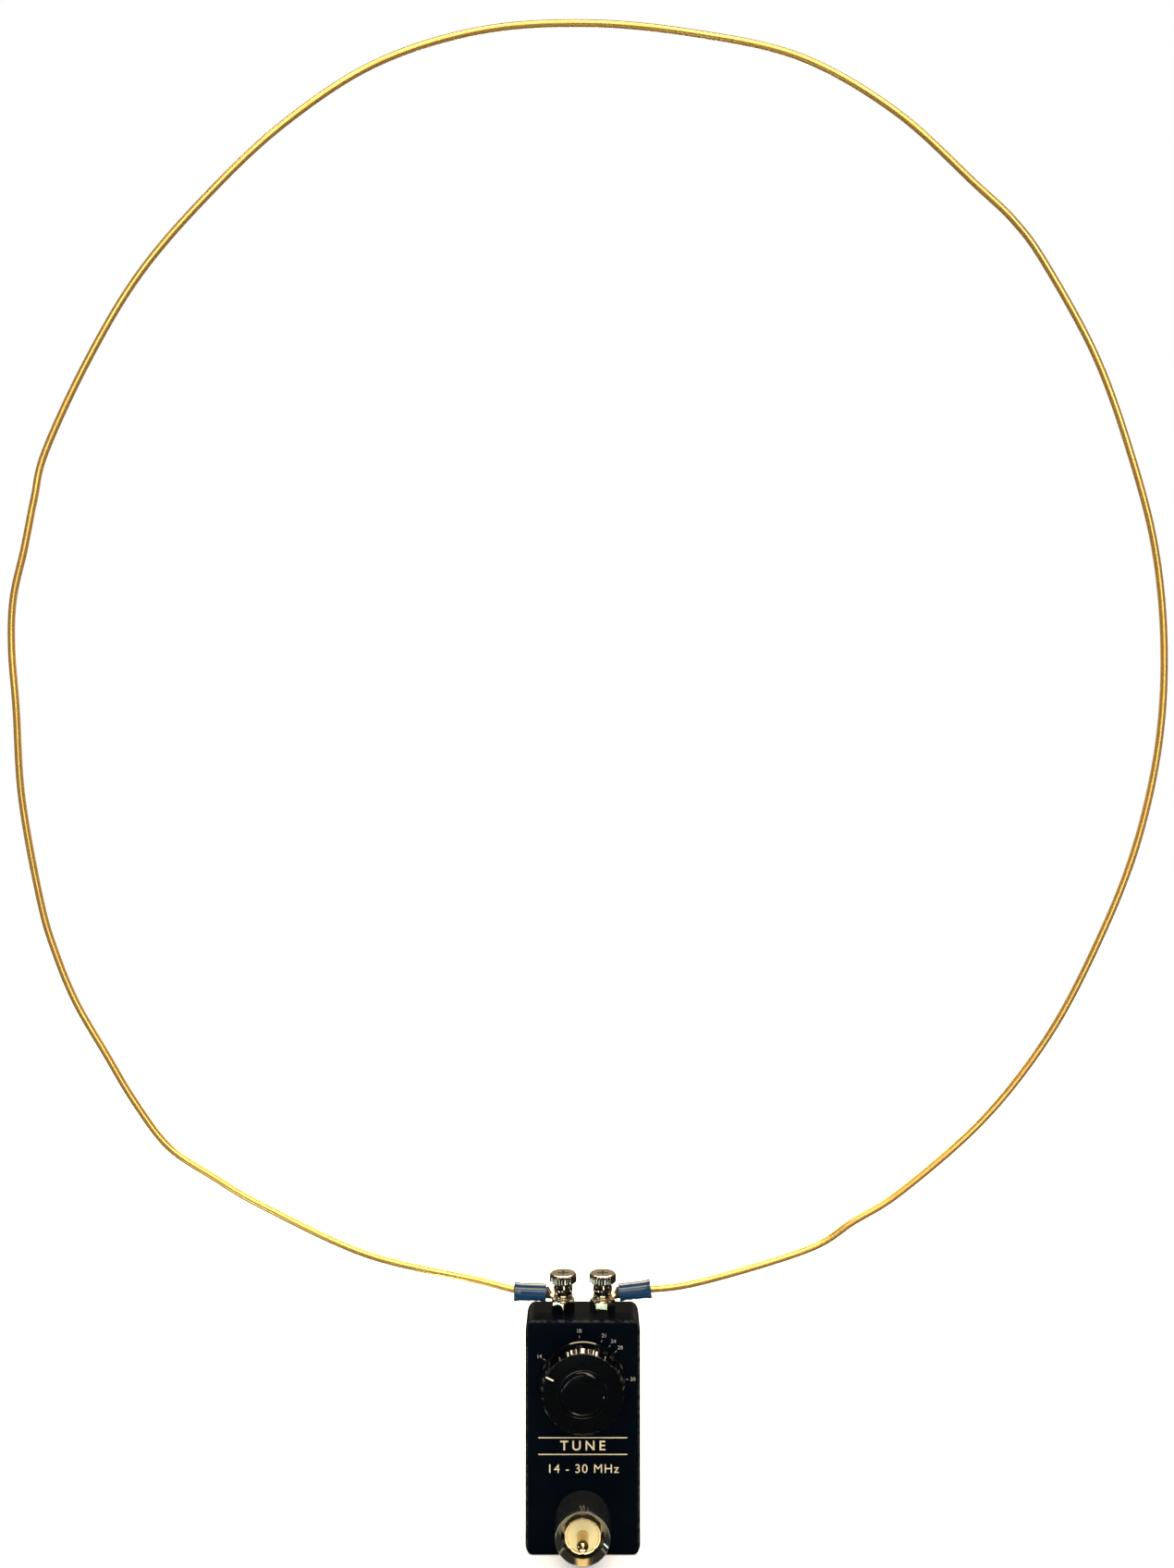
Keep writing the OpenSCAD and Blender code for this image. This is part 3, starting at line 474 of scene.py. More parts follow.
def plastic(name, colour, faded, rubbed_and_sheen, roughness, grain, wear_radius,
            depth=0.006 * MM, painted_round_edge_sheen=0.0, **sockets):
    """A moulded plastic: grained, a little faded in patches, with wear at its edges and, where asked, a
    painted highlight on its round edges.

    roughness is its smoothest and roughest, and grain and depth are its texture's scale and height.
    """
    material, tree, shader = new_finish(name, **sockets)
    tone = place(tree, TARNISH, Clean=colour, Dull=faded, Amount=0.8, Scale=120.0)
    wear = place(tree, WEAR_AND_SHEEN, Radius=wear_radius, Breakup=700.0, Rounded=painted_round_edge_sheen)
    film = place(tree, HANDLING, Scale=140.0, Smooth=roughness[0], Rough=roughness[1])
    texture = place(tree, GRAIN, Scale=grain)
    # The edge colour is wear on sharp edges and a painted highlight on round ones
    edge_coloured = mix_colour(tree, wear["Mask"], tone["Color"], rubbed_and_sheen)
    coat(tree, shader, edge_coloured, film["Roughness"], texture["Height"], depth)
    return material


def metal(name, clean, dull, bright, roughness, depth,
          amount=0.5, grain=None, rings=None, patches=350.0, metallic=1.0):
    """A plated or bare metal: tarnished in patches and polished by wear at its edges.

    amount is how tarnished it is, and roughness its smoothest and roughest. A turned piece has rings, and
    any other a fine cast grain.
    """
    tarnish_roughness = 0.15
    material, tree, shader = new_finish(name, Metallic=metallic)
    tone = place(tree, TARNISH, Clean=clean, Dull=dull, Amount=amount, Scale=patches)
    wear = place(tree, WEAR_AND_SHEEN, Radius=0.2 * MM, Breakup=1500.0)
    film = place(tree, HANDLING, Scale=patches, Smooth=roughness[0], Rough=roughness[1])
    texture = place(tree, TURNING, Rings=rings) if rings else place(tree, GRAIN, Scale=grain)
    polished = mix_colour(tree, wear["Mask"], tone["Color"], bright)
    dulled = calculate(tree, "MULTIPLY_ADD", tone["Mask"], tarnish_roughness, film["Roughness"])
    coat(tree, shader, polished, dulled, texture["Height"], depth)
    return material


def ink(name, colour, thin):
    """A printed mark: thin in places, so that the surface under it shows."""
    depth = 0.004 * MM
    material, tree, shader = new_finish(name, Specular_IOR_Level=0.3)
    tone = place(tree, TARNISH, Clean=colour, Dull=thin, Amount=0.9, Scale=1600.0)
    film = place(tree, HANDLING, Scale=900.0, Smooth=0.45, Rough=0.65)
    texture = place(tree, GRAIN, Scale=5000.0)
    coat(tree, shader, tone["Color"], film["Roughness"], texture["Height"], depth)
    return material


# Finishes, by the record's material slots

FINISH = {
    # The case's lighter edge colour is wear on its sharp edges and a painted highlight along its round edges
    "case_black": plastic(
        "case_moulding", colour=rgb(0.0009, 0.0021, 0.0046), faded=rgb(0.0014, 0.0029, 0.0056),
        rubbed_and_sheen=rgb(0.034, 0.037, 0.04), roughness=(0.28, 0.38), grain=2600.0,
        wear_radius=0.5 * MM, painted_round_edge_sheen=0.9, Specular_IOR_Level=0.008, Specular_Tint=rgb(0.72, 0.88, 1)),
    "knob_black": plastic(
        "knob_gloss", colour=rgb(0.0006, 0.0009, 0.0016), faded=rgb(0.001, 0.0013, 0.002),
        rubbed_and_sheen=rgb(0.003, 0.0034, 0.004), roughness=(0.1, 0.16), grain=1800.0, depth=0.0008 * MM,
        wear_radius=0.25 * MM, Specular_IOR_Level=0.15, Coat_Weight=1.0, Coat_Roughness=0.06),
    "sleeve_blue": plastic(
        "sleeve_vinyl", colour=rgb(0.004, 0.03, 0.085), faded=rgb(0.006, 0.036, 0.096),
        rubbed_and_sheen=rgb(0.014, 0.05, 0.12), roughness=(0.17, 0.27), grain=1400.0, depth=0.008 * MM,
        wear_radius=0.3 * MM, Specular_IOR_Level=0.5),
    "insulator_cream": plastic(
        "insulator_cream", colour=rgb(0.46, 0.43, 0.25), faded=rgb(0.41, 0.37, 0.2),
        rubbed_and_sheen=rgb(0.54, 0.51, 0.35), roughness=(0.34, 0.5), grain=2400.0,
        wear_radius=0.3 * MM, Specular_IOR_Level=0.4),
    "capacitor_plastic": plastic(
        "capacitor_plastic", colour=rgb(0.72, 0.68, 0.58), faded=rgb(0.62, 0.57, 0.46),
        rubbed_and_sheen=rgb(0.8, 0.77, 0.7), roughness=(0.25, 0.4), grain=1500.0,
        wear_radius=0.3 * MM, Specular_IOR_Level=0.45),
    "lead_red": plastic(
        "lead_red", colour=rgb(0.35, 0.02, 0.02), faded=rgb(0.25, 0.02, 0.02), rubbed_and_sheen=rgb(0.45, 0.06, 0.05),
        roughness=(0.35, 0.5), grain=2500.0, wear_radius=0.2 * MM),
    "lead_black": plastic(
        "lead_black", colour=rgb(0.012, 0.012, 0.013), faded=rgb(0.02, 0.02, 0.021),
        rubbed_and_sheen=rgb(0.04, 0.04, 0.04), roughness=(0.35, 0.5), grain=2500.0, wear_radius=0.2 * MM),
    "ferrite": plastic(
        "ferrite_core", colour=rgb(0.05, 0.052, 0.058), faded=rgb(0.08, 0.08, 0.085),
        rubbed_and_sheen=rgb(0.12, 0.12, 0.125), roughness=(0.5, 0.7), grain=3500.0, depth=0.02 * MM,
        wear_radius=0.3 * MM),
    "wire_gold": metal(
        "wire_gold", clean=rgb(0.84, 0.54, 0.16), dull=rgb(0.66, 0.36, 0.09),
        bright=rgb(0.92, 0.68, 0.3), roughness=(0.2, 0.3), depth=0.0012 * MM, grain=2200.0,
        patches=60.0, metallic=0.8),
    "lug_tin": metal(
        "lug_tin", clean=rgb(0.62, 0.55, 0.42), dull=rgb(0.4, 0.32, 0.2), amount=0.7,
        bright=rgb(0.75, 0.68, 0.54), roughness=(0.26, 0.42), depth=0.008 * MM, grain=2500.0),
    "terminal_nickel": metal(
        "terminal_nickel", clean=rgb(0.52, 0.47, 0.38), dull=rgb(0.3, 0.25, 0.17), amount=0.4,
        bright=rgb(0.6, 0.54, 0.43), roughness=(0.05, 0.11), depth=0.0004 * MM, rings=16000.0),
    "plug_nickel": metal(
        "plug_nickel", clean=rgb(0.78, 0.68, 0.46), dull=rgb(0.6, 0.5, 0.32),
        bright=rgb(0.84, 0.76, 0.56), roughness=(0.34, 0.5), depth=0.003 * MM, rings=14000.0),
    "ring_dark": metal(
        "ring_nickel", clean=rgb(0.2, 0.215, 0.23), dull=rgb(0.14, 0.15, 0.16), amount=0.3,
        bright=rgb(0.24, 0.26, 0.28), roughness=(0.05, 0.09), depth=0.0015 * MM, rings=12000.0,
        metallic=0.94),
    "pin_gold": metal(
        "pin_gold", clean=rgb(0.72, 0.54, 0.27), dull=rgb(0.5, 0.34, 0.14),
        bright=rgb(0.8, 0.66, 0.4), roughness=(0.1, 0.2), depth=0.002 * MM, rings=15000.0),
    "plate_brass": metal(
        "plate_brass", clean=rgb(0.66, 0.46, 0.2), dull=rgb(0.42, 0.26, 0.1),
        bright=rgb(0.78, 0.6, 0.32), roughness=(0.25, 0.4), depth=0.004 * MM, grain=3000.0),
    "enamel_copper": metal(
        "enamel_copper", clean=rgb(0.42, 0.14, 0.05), dull=rgb(0.28, 0.08, 0.03),
        bright=rgb(0.5, 0.2, 0.08), roughness=(0.2, 0.3), depth=0.004 * MM, grain=2500.0),
    "screw_steel": metal(
        "screw_steel", clean=rgb(0.5, 0.49, 0.46), dull=rgb(0.3, 0.28, 0.24),
        bright=rgb(0.65, 0.64, 0.6), roughness=(0.2, 0.34), depth=0.005 * MM, grain=2600.0),
    "pointer_white": ink("pointer_paint", rgb(0.82, 0.77, 0.62), rgb(0.62, 0.57, 0.44)),
}
DIAL_INK = ink("dial_ink", rgb(0.3, 0.3, 0.3), rgb(0.12, 0.12, 0.13))
LABEL_INK = ink("label_ink", rgb(0.68, 0.6, 0.42), rgb(0.42, 0.36, 0.24))


def dress_frame():
    """Gives each piece of the frame the finish of its material slot."""
    for row in frame["record"]["subparts"]:
        materials = frame["nodes"][row["node"]].data.materials
        materials.clear()
        materials.append(FINISH[row["material_slot"]])


# Loop, lugs and sleeves

# Sections of a lug's neck and barrel: the distance from the ring's centre and the width of the sheet
# in millimetres, and the angle in degrees that the sheet is bent to
NECK = [
    (2.7, 4.6, 14), (3.3, 4.6, 20), (3.9, 5, 52), (4.4, 5.9, 100), (4.9, 7.2, 165), (5.4, 8.4, 250),
    (5.9, 9.2, 330), (6.4, 9.4, 352), (9, 9.4, 352), (12.1, 9.4, 352),
]


def barrel_point(side, along):
    """A point on the axis of a lug's barrel, at a distance from the barrel's start."""
    tilt = TILT[side]
    x = abs(POST_X[side]) + LUG_REACH + along * math.cos(tilt) - BARREL_UP * math.sin(tilt)
    z = LUG_Z + along * math.sin(tilt) + BARREL_UP * math.cos(tilt)
    return Vector((SIDE[side] * x, WIRE_Y, z))


def loop_wire():
    """The loop, from inside one lug's barrel to inside the other's."""
    bend_steps = 9
    wire_sides = 20
    wire_z = LUG_Z + BARREL_UP
    points = [barrel_point("left", WIRE_IN), barrel_point("left", BARREL_L + WIRE_CLEAR)]
    points += [Vector((x / 100 * LOOP_W / 2, WIRE_Y, wire_z + z / 100 * LOOP_H)) for x, z in ROUTE]
    points += [barrel_point("right", BARREL_L + WIRE_CLEAR), barrel_point("right", WIRE_IN)]
    wire = swept(smooth_path(points, bend_steps), WIRE_D / 2, wire_sides)
    piece("loop_wire_drawn", wire, "case", "wire_gold", ["loop_wire"])


def lug_point(side, beyond, across, up, tilt):
    """A point of a lug, tilted about the place where its barrel starts."""
    x = LUG_REACH + beyond * math.cos(tilt) - up * math.sin(tilt)
    return Vector((SIDE[side] * x, across, beyond * math.sin(tilt) + up * math.cos(tilt)))


def lug(side):
    """A stamped ring whose neck rises in a scoop and closes into the crimp barrel."""
    ring_r = span("left_washer").x / 2
    hole_r = 2.1 * MM
    sheet = 0.8 * MM
    edge = 0.16 * MM
    barrel_sheet = (BARREL_D - BARREL_BORE) / 2
    barrel_turn = math.pi * (BARREL_D + BARREL_BORE) / 2
    closes_from = 3.3 * MM
    closes_over = 2.6 * MM
    bend_steps = 28
    lift = 0.03 * MM
    sections = []
    for reach_mm, width_mm, bent_degrees in NECK:
        reach = reach_mm * MM
        width = width_mm * MM
        bent = math.radians(bent_degrees)
        closed = min(1, max(0, (reach - closes_from) / closes_over))
        wall = sheet + (barrel_sheet - sheet) * closed
        if closed == 1:
            width = min(width, barrel_turn * bent / (2 * math.pi))
        radius = width / bent
        sweep = [bent * (k / bend_steps - 0.5) for k in range(bend_steps + 1)]
        outside = [(angle, radius + wall / 2) for angle in sweep]
        inside = [(angle, radius - wall / 2) for angle in reversed(sweep)]
        section = []
        for angle, r in outside + inside:
            up = radius + wall / 2 - r * math.cos(angle) + lift
            section.append(lug_point(side, reach - LUG_REACH, r * math.sin(angle), up, TILT[side] * closed))
        sections.append(section)
    shape = combined(flat_ring(hole_r, ring_r, 0, sheet, edge), lofted(sections), "UNION")
    where = Matrix.Translation((POST_X[side], WIRE_Y, LUG_Z))
    piece(side + "_ring_lug", shape, "case", "lug_tin", [side + "_lug"], where)


def sleeve(side):
    """A soft sleeve over the barrel, pressed in by the crimp and belled at the wire's end."""
    clearance = 0.05 * MM
    outer = SLEEVE_D / 2
    bore = BARREL_D / 2 + clearance
    bore_edge = 0.1 * MM
    lip = 0.25 * MM
    wall_from = 0.6 * MM
    wall_steps = 26
    sleeve_sides = 64
    bell_l = 3 * MM
    bell_wall = 0.6 * MM
    bell_from = SLEEVE_L - bell_l
    bell_steps = 8
    rim_step = 0.5
    belled = outer + SLEEVE_FLARE
    # Each crimp's place along the sleeve, and its depth
    crimps = ((2.4 * MM, 0.24 * MM), (4.9 * MM, 0.2 * MM))
    crimp_l = 0.75 * MM
    crimp_side = math.pi * 0.92
    corners = [(bore, 0, bore_edge), (outer, 0, lip)]
    corners += run(outer, wall_from, bell_from, wall_steps)
    for k in range(1, bell_steps):
        widened = outer + SLEEVE_FLARE * (k / bell_steps) ** 2
        corners.append((widened, bell_from + bell_l * k / (bell_steps + rim_step), 0))
    corners += [(belled, SLEEVE_L, lip), (belled - bell_wall, SLEEVE_L, lip), (bore, bell_from, 0)]

    def pressed(radius, height, angle):
        if radius < outer - lip:
            return radius
        facing = max(0, math.cos(angle - crimp_side)) ** 2
        dents = sum(depth * math.exp(-((height - at) / crimp_l) ** 2) for at, depth in crimps)
        return radius - dents * facing

    tilt = TILT[side]
    axis = Vector((SIDE[side] * math.cos(tilt), 0, math.sin(tilt)))
    up = Vector((-SIDE[side] * math.sin(tilt), 0, math.cos(tilt)))
    turn = Matrix((up, axis.cross(up), axis)).transposed().to_4x4()
    where = Matrix.Translation(barrel_point(side, SLEEVE_FROM)) @ turn
    tube = turned(soft_profile(corners), sleeve_sides, pressed)
    piece(side + "_vinyl_sleeve", tube, "case", "sleeve_blue", [side + "_sleeve"], where)


# Terminals

HEX_TURN = {"left": math.radians(32), "right": math.radians(-7)}


def hex_base(side):
    """A hexagonal terminal base with a turned chamfer, on the stud that passes through the case."""
    node_name = side + "_post"
    foot = CASE_Z[1]
    top = LUG_Z
    stud_end = low(node_name).z
    stud_r = 2.75 * MM
    stud_edge = 0.2 * MM
    bore_r = 1.8 * MM
    bore_edge = 0.15 * MM
    flat = 4 * MM
    past_flat = 0.01 * MM
    widest = flat / math.cos(math.pi / 6)
    flats = [HEX_TURN[side] + math.pi / 6 + math.pi / 3 * k for k in range(6)]
    corner_sharpness = 34
    chamfer = 0.5 * MM
    chamfer_slope = 1.7
    chamfer_h = 2 * chamfer
    chamfer_first = 1.9 * chamfer
    chamfer_last = 0.05 * MM
    chamfer_steps = 9
    wall_from = 0.1 * MM
    wall_steps = 4
    base_sides = 240
    corners = [(bore_r, stud_end, 0), (stud_r, stud_end, stud_edge), (stud_r, foot, 0), (widest, foot, 0)]
    corners += run(widest, foot + wall_from, top - chamfer_h, wall_steps)
    corners += run(widest, top - chamfer_first, top - chamfer_last, chamfer_steps)
    corners += [(flat + past_flat, top, 0), (bore_r, top, bore_edge)]

    def hexagon(radius, height, angle):
        if radius < flat:
            return radius
        near = sum(max(0, math.cos(angle - facing)) ** corner_sharpness for facing in flats)
        drop = top - height
        cone = flat - chamfer + drop * chamfer_slope if drop < chamfer_h else widest
        return min(radius, cone, flat / near ** (1 / corner_sharpness))

    base = turned(soft_profile(corners), base_sides, hexagon)
    piece(side + "_hex_base", base, "case", "terminal_nickel", [node_name], POST_AXIS[side])


def clamp_washer(side):
    """The thin washer between a lug and its thumb screw."""
    node_name = side + "_washer"
    outer = span(node_name).x / 2
    bore = 1.85 * MM
    edge = 0.14 * MM
    washer = flat_ring(bore, outer, low(node_name).z, high(node_name).z, edge)
    piece(side + "_flat_washer", washer, side + "_clamp", "terminal_nickel", [node_name], POST_AXIS[side])


def thumb_screw(side):
    """A thumb screw: plain shank, rounded shoulder, knurled head with a cross recess."""
    node_name = side + "_thumb_screw"
    bottom = low(node_name).z
    top = high(node_name).z
    seat = high(side + "_washer").z
    shank_r = 1.75 * MM
    tip_r = 0.7 * shank_r
    tip_h = 0.5 * MM
    shoulder_r = 3.35 * MM
    bead = 0.45 * MM
    bead_steps = 12
    corners = [(0, bottom, 0), (tip_r, bottom, 0), (shank_r, bottom + tip_h, 0), (shank_r, seat, 0)]

    head_r = span(node_name).x / 2
    head_h = 3.6 * MM
    head_z = top - head_h
    for k in range(bead_steps + 1):
        share = k / bead_steps
        corners.append((shoulder_r - bead * (2 * share - 1) ** 2, seat + (head_z - seat) * share, 0))

    ridges = 30
    ridge_d = 0.3 * MM
    # A power under 1 makes the valleys between the ridges wider
    valley_power = 0.7
    ridge_sides = 8
    core_r = head_r - ridge_d
    under_edge = 0.7 * MM
    under_fillet = 0.1 * MM
    knurl_edge = 0.02 * MM
    knurl_from = 0.15 * MM
    knurl_below_top = 0.75 * MM
    knurl_steps = 4
    rim_in = 0.1 * MM
    rim_below_top = 0.5 * MM
    crown_in = 0.1 * MM
    crown_below_top = 0.1 * MM
    face_in = 0.5 * MM
    face_fillet = 0.3 * MM
    dish = 0.12 * MM
    corners += [(core_r - under_edge, head_z, under_fillet), (head_r - knurl_edge, head_z + under_edge, 0)]
    corners += run(head_r, head_z + under_edge + knurl_from, top - knurl_below_top, knurl_steps)
    corners += [(head_r - rim_in, top - rim_below_top, 0), (core_r - crown_in, top - crown_below_top, 0)]
    corners += [(core_r - face_in, top, face_fillet), (0, top - dish, 0)]

    def knurled(radius, height, angle):
        if radius <= core_r:
            return radius
        valley = (0.5 + 0.5 * math.cos(ridges * angle)) ** valley_power
        return radius - ridge_d * valley * min(1, (radius - core_r) / ridge_d)

    cross_l = 4.4 * MM
    cross_w = 0.95 * MM
    cross_d = 1.4 * MM
    cross_taper = 0.72
    recess = prism(cross(cross_l, cross_w), top - cross_d, top + cross_d, cross_taper)
    screw = combined(turned(soft_profile(corners), ridge_sides * ridges, knurled), recess, "DIFFERENCE")
    piece(side + "_knurled_screw", screw, side + "_screw", "terminal_nickel", [node_name], POST_AXIS[side])


# Tuning knob

KNOB_FOOT, KNOB_TOP = back_and_front("tuning_knob")
CAP_FOOT, CAP_TOP = back_and_front("knob_cap")
KNOB_R = span("tuning_knob").x / 2
CAP_R = span("knob_cap").x / 2
KNOB_FACE_R = KNOB_R - 1.05 * MM
KNOB_EDGE = 0.3 * MM
KNOB_SLOPE = 0.6 * MM
KNOB_SLOPE_L = 3 * MM
KNOB_RIDGES = 28
POINTER_ANGLE = math.radians(155)


def groove_depth(angle):
    """How deep the grooves between the knob's ridges are at an angle."""
    deepest = 0.26 * MM
    half_width = 0.26 * MM
    crown = 0.04 * MM
    step = 2 * math.pi / KNOB_RIDGES
    off = (angle - POINTER_ANGLE) % step - step / 2
    across = off * KNOB_FACE_R
    return deepest * math.exp(-(across / half_width) ** 2) + crown * (1 - 2 * abs(off) / step) ** 2


def tuning_knob():
    """A ridged knob on a smooth skirt, hollow behind, with a sunk face and a hole for its grub screw."""
    cap_gap = 0.12 * MM
    cap_seat = CAP_FOOT - 0.02 * MM
    recess_r = CAP_R + cap_gap
    recess_edge = 0.1 * MM
    flat_r = KNOB_FACE_R - 1.6 * MM
    edge_band = 0.04 * MM
    edge_steps = 6
    slope_fillet = 0.5 * MM
    corners = [(0, cap_seat, 0), (recess_r, cap_seat, 0), (recess_r, KNOB_TOP, recess_edge)]
    corners += [(flat_r, KNOB_TOP, 0), (KNOB_FACE_R - KNOB_EDGE - edge_band, KNOB_TOP, 0)]
    for k in range(edge_steps + 1):
        a = math.pi / 2 * k / edge_steps
        drop = KNOB_EDGE * (1 - math.cos(a))
        corners.append((KNOB_FACE_R - KNOB_EDGE * (1 - math.sin(a)), KNOB_TOP - drop, 0))
    corners += [(KNOB_FACE_R + KNOB_SLOPE, KNOB_TOP - KNOB_SLOPE_L, slope_fillet)]

    skirt_top = KNOB_FOOT + 1 * MM
    skirt_bevel = 0.36 * MM
    skirt_edge = 0.12 * MM
    foot_edge = 0.15 * MM
    ridged_r = KNOB_R - 0.4 * MM
    corners += [(ridged_r, skirt_top, 0), (KNOB_R, skirt_top - skirt_bevel, skirt_edge)]
    corners += [(KNOB_R, KNOB_FOOT, foot_edge)]

    wall = 2 * MM
    roof = 3.2 * MM
    inner = KNOB_R - wall
    ceiling = KNOB_TOP - roof
    hub_r = 5.5 * MM
    shaft_r = 3.02 * MM
    corners += [(inner, KNOB_FOOT, 0), (inner, ceiling, 0), (hub_r, ceiling, 0), (hub_r, KNOB_FOOT, 0)]
    corners += [(shaft_r, KNOB_FOOT, 0), (shaft_r, ceiling, 0), (0, ceiling, 0)]

    def ridged(radius, height, angle):
        if height < skirt_top or not flat_r < radius <= ridged_r:
            return radius
        return radius - groove_depth(angle) * min(1, (radius - flat_r) / (KNOB_FACE_R - KNOB_EDGE - flat_r))

    ridge_sides = 16
    grub_r = 1.55 * MM
    grub_up = 3.2 * MM
    grub_sides = 24
    drill_from = shaft_r / 2
    drill_to = KNOB_R * 1.2
    drill = prism(circle(grub_r, grub_sides), drill_from, drill_to)
    aim = Matrix.Rotation(POINTER_ANGLE + math.pi, 4, "Z") @ Matrix.Translation((0, 0, KNOB_FOOT + grub_up))
    bmesh.ops.transform(drill, matrix=aim @ Matrix.Rotation(math.pi / 2, 4, "Y"), verts=drill.verts)
    knob = combined(turned(soft_profile(corners), ridge_sides * KNOB_RIDGES, ridged), drill, "DIFFERENCE")
    piece("ridged_knob", knob, "tuner", "knob_black", ["tuning_knob"], KNOB_AXIS)


def knob_cap():
    """A cap with a low dome inside a fine groove."""
    dome = 0.12 * MM
    dome_steps = 8
    foot_edge = 0.1 * MM
    rim_edge = 0.12 * MM
    groove_r = CAP_R - 0.9 * MM
    groove_d = 0.12 * MM
    groove_half = 0.18 * MM
    groove_edge = 0.04 * MM
    cap_sides = 96
    rim = CAP_TOP - dome
    corners = [(0, CAP_FOOT, 0), (CAP_R, CAP_FOOT, foot_edge), (CAP_R, rim, rim_edge)]
    corners += [(groove_r + groove_half, rim, groove_edge), (groove_r, rim - groove_d, 0)]
    for k in range(dome_steps + 1):
        share = 1 - k / dome_steps
        corners.append(((groove_r - groove_half) * share, CAP_TOP - dome * share ** 2, 0))
    cap = turned(soft_profile(corners), cap_sides)
    piece("knob_centre_cap", cap, "tuner", "knob_black", ["knob_cap"], KNOB_AXIS)


def strip(length, width, height, rounding):
    """A flat mark with round ends, along X from 0. Its top is smaller by the share that rounding gives."""
    end_points = 7
    straight_share = 0.6
    half = width / 2
    middle_x = length / 2
    turns = [math.pi * (k / (end_points - 1) - 0.5) for k in range(end_points)]
    outline = [(length - half + half * math.cos(a), half * math.sin(a)) for a in turns]
    outline += [(half - half * math.cos(a), -half * math.sin(a)) for a in turns]
    small = [(middle_x + (x - middle_x) * (1 - rounding), y * (1 - rounding)) for x, y in outline]
    layers = ((outline, 0), (outline, height * straight_share), (small, height))
    return lofted([[(x, y, z) for x, y in layer] for layer, z in layers])


def knob_pointer():
    """A paint-filled line on the knob's face, that runs down over its rounded edge."""
    length = 3 * MM
    half_width = 0.48 * MM / 2
    outer = KNOB_FACE_R - KNOB_EDGE / 8
    steps = 16
    end_bluntness = 12
    end_least = 0.1
    sunk = 0.1 * MM
    proud = 0.04 * MM
    # The line's section: a share of its half width, and the height over the knob's face
    outline = [(-1, -sunk), (-1, proud / 2), (-0.7, proud), (0, proud * 1.1)]
    outline += [(0.7, proud), (1, proud / 2), (1, -sunk)]
    sections = []
    for k in range(steps + 1):
        share = k / steps
        x = outer - length * (1 - share)
        half = half_width * math.sqrt(max(end_least, 1 - abs(2 * share - 1) ** end_bluntness))
        over = max(0, x - KNOB_FACE_R + KNOB_EDGE)
        face = KNOB_TOP - KNOB_EDGE + math.sqrt(KNOB_EDGE ** 2 - over ** 2)
        sections.append([Vector((x, y * half, face + up)) for y, up in outline])
    where = KNOB_AXIS @ Matrix.Rotation(POINTER_ANGLE, 4, "Z")
    piece("pointer_line", lofted(sections), "tuner", "pointer_white", ["knob_pointer"], where)


# Plug

def coupling_ring():
    """The plug's loose ring: grooved for grip at the back, plain inside, with a wide polished mouth."""
    back, front = back_and_front("coupling_ring")
    outer = span("coupling_ring").x / 2
    back_edge = 0.4 * MM
    grip_from = 1.2 * MM
    grip_to = 7.2 * MM
    grip_band = 0.1 * MM
    grip_fade = 1.5 * MM
    grip_steps = 16
    grooves = 36
    groove_d = 0.22 * MM
    # A power under 1 makes the grooves fuller
    groove_power = 0.7
    groove_sides = 6
    near_outer = 0.01 * MM
    front_band = 1.2 * MM
    front_edge = 0.16 * MM
    rim = 0.3 * MM
    rim_edge = 0.1 * MM
    bore = 7.4 * MM
    mouth = outer - rim - bore
    mouth_edge = 0.06 * MM
    mouth_band = 0.2 * MM
    lip_foot = 2 * MM
    lip_top = 4.8 * MM
    lip_r = 5.75 * MM
    lip_edge = 0.1 * MM
    skirt_r = 7.5 * MM
    corners = [(skirt_r, back, lip_edge), (outer, back, back_edge), (outer, grip_from - grip_band, 0)]
    corners += run(outer, grip_from, grip_to, grip_steps)
    corners += [(outer, grip_to + grip_band, 0), (outer, front - front_band, 0), (outer, front, front_edge)]
    corners += [(outer - rim, front, rim_edge), (bore, front - mouth, mouth_edge)]
    corners += [(bore, front - mouth - mouth_band, 0), (bore, lip_top, 0)]
    corners += [(lip_r, lip_top, lip_edge), (lip_r, lip_foot, lip_edge), (skirt_r, lip_foot, 0)]

    def gripped(radius, height, angle):
        if radius <= outer - near_outer or not grip_from <= height <= grip_to:
            return radius
        fade = min(1, (height - grip_from) / grip_fade, (grip_to - height) / grip_fade)
        return radius - groove_d * fade * max(0, math.cos(grooves * angle)) ** groove_power

    ring = turned(soft_profile(corners), groove_sides * grooves, gripped)
    piece("threaded_ring", ring, "coupling", "ring_dark", ["coupling_ring"], PLUG_AXIS)


def plug_insulator():
    """The pale insulator, with soft edges and a low rise round the pin."""
    foot, face = back_and_front("plug_insulator")
    outer = span("plug_insulator").x / 2
    bore = 1.7 * MM
    bore_edge = 0.1 * MM
    tail_r = 3.5 * MM
    tail_edge = 0.2 * MM
    step = 5.6 * MM
    step_edge = 0.1 * MM
    rim_w = 0.9 * MM
    rim_edge = 0.3 * MM
    rise_w = 0.7 * MM
    slope_w = 0.4 * MM
    slope_edge = 0.15 * MM
    insulator_sides = 96
    sunk = face - 0.12 * MM
    corners = [(bore, foot, 0), (tail_r, foot, tail_edge), (tail_r, step, 0), (outer, step, step_edge)]
    corners += [(outer, face, rim_edge), (outer - rim_w, face, slope_edge)]
    corners += [(outer - rim_w - slope_w, sunk, slope_edge), (bore + rise_w + slope_w, sunk, slope_edge)]
    corners += [(bore + rise_w, face, slope_edge), (bore, face, bore_edge)]
    insulator = turned(soft_profile(corners), insulator_sides)
    piece("moulded_insulator", insulator, "case", "insulator_cream", ["plug_insulator"], PLUG_AXIS)


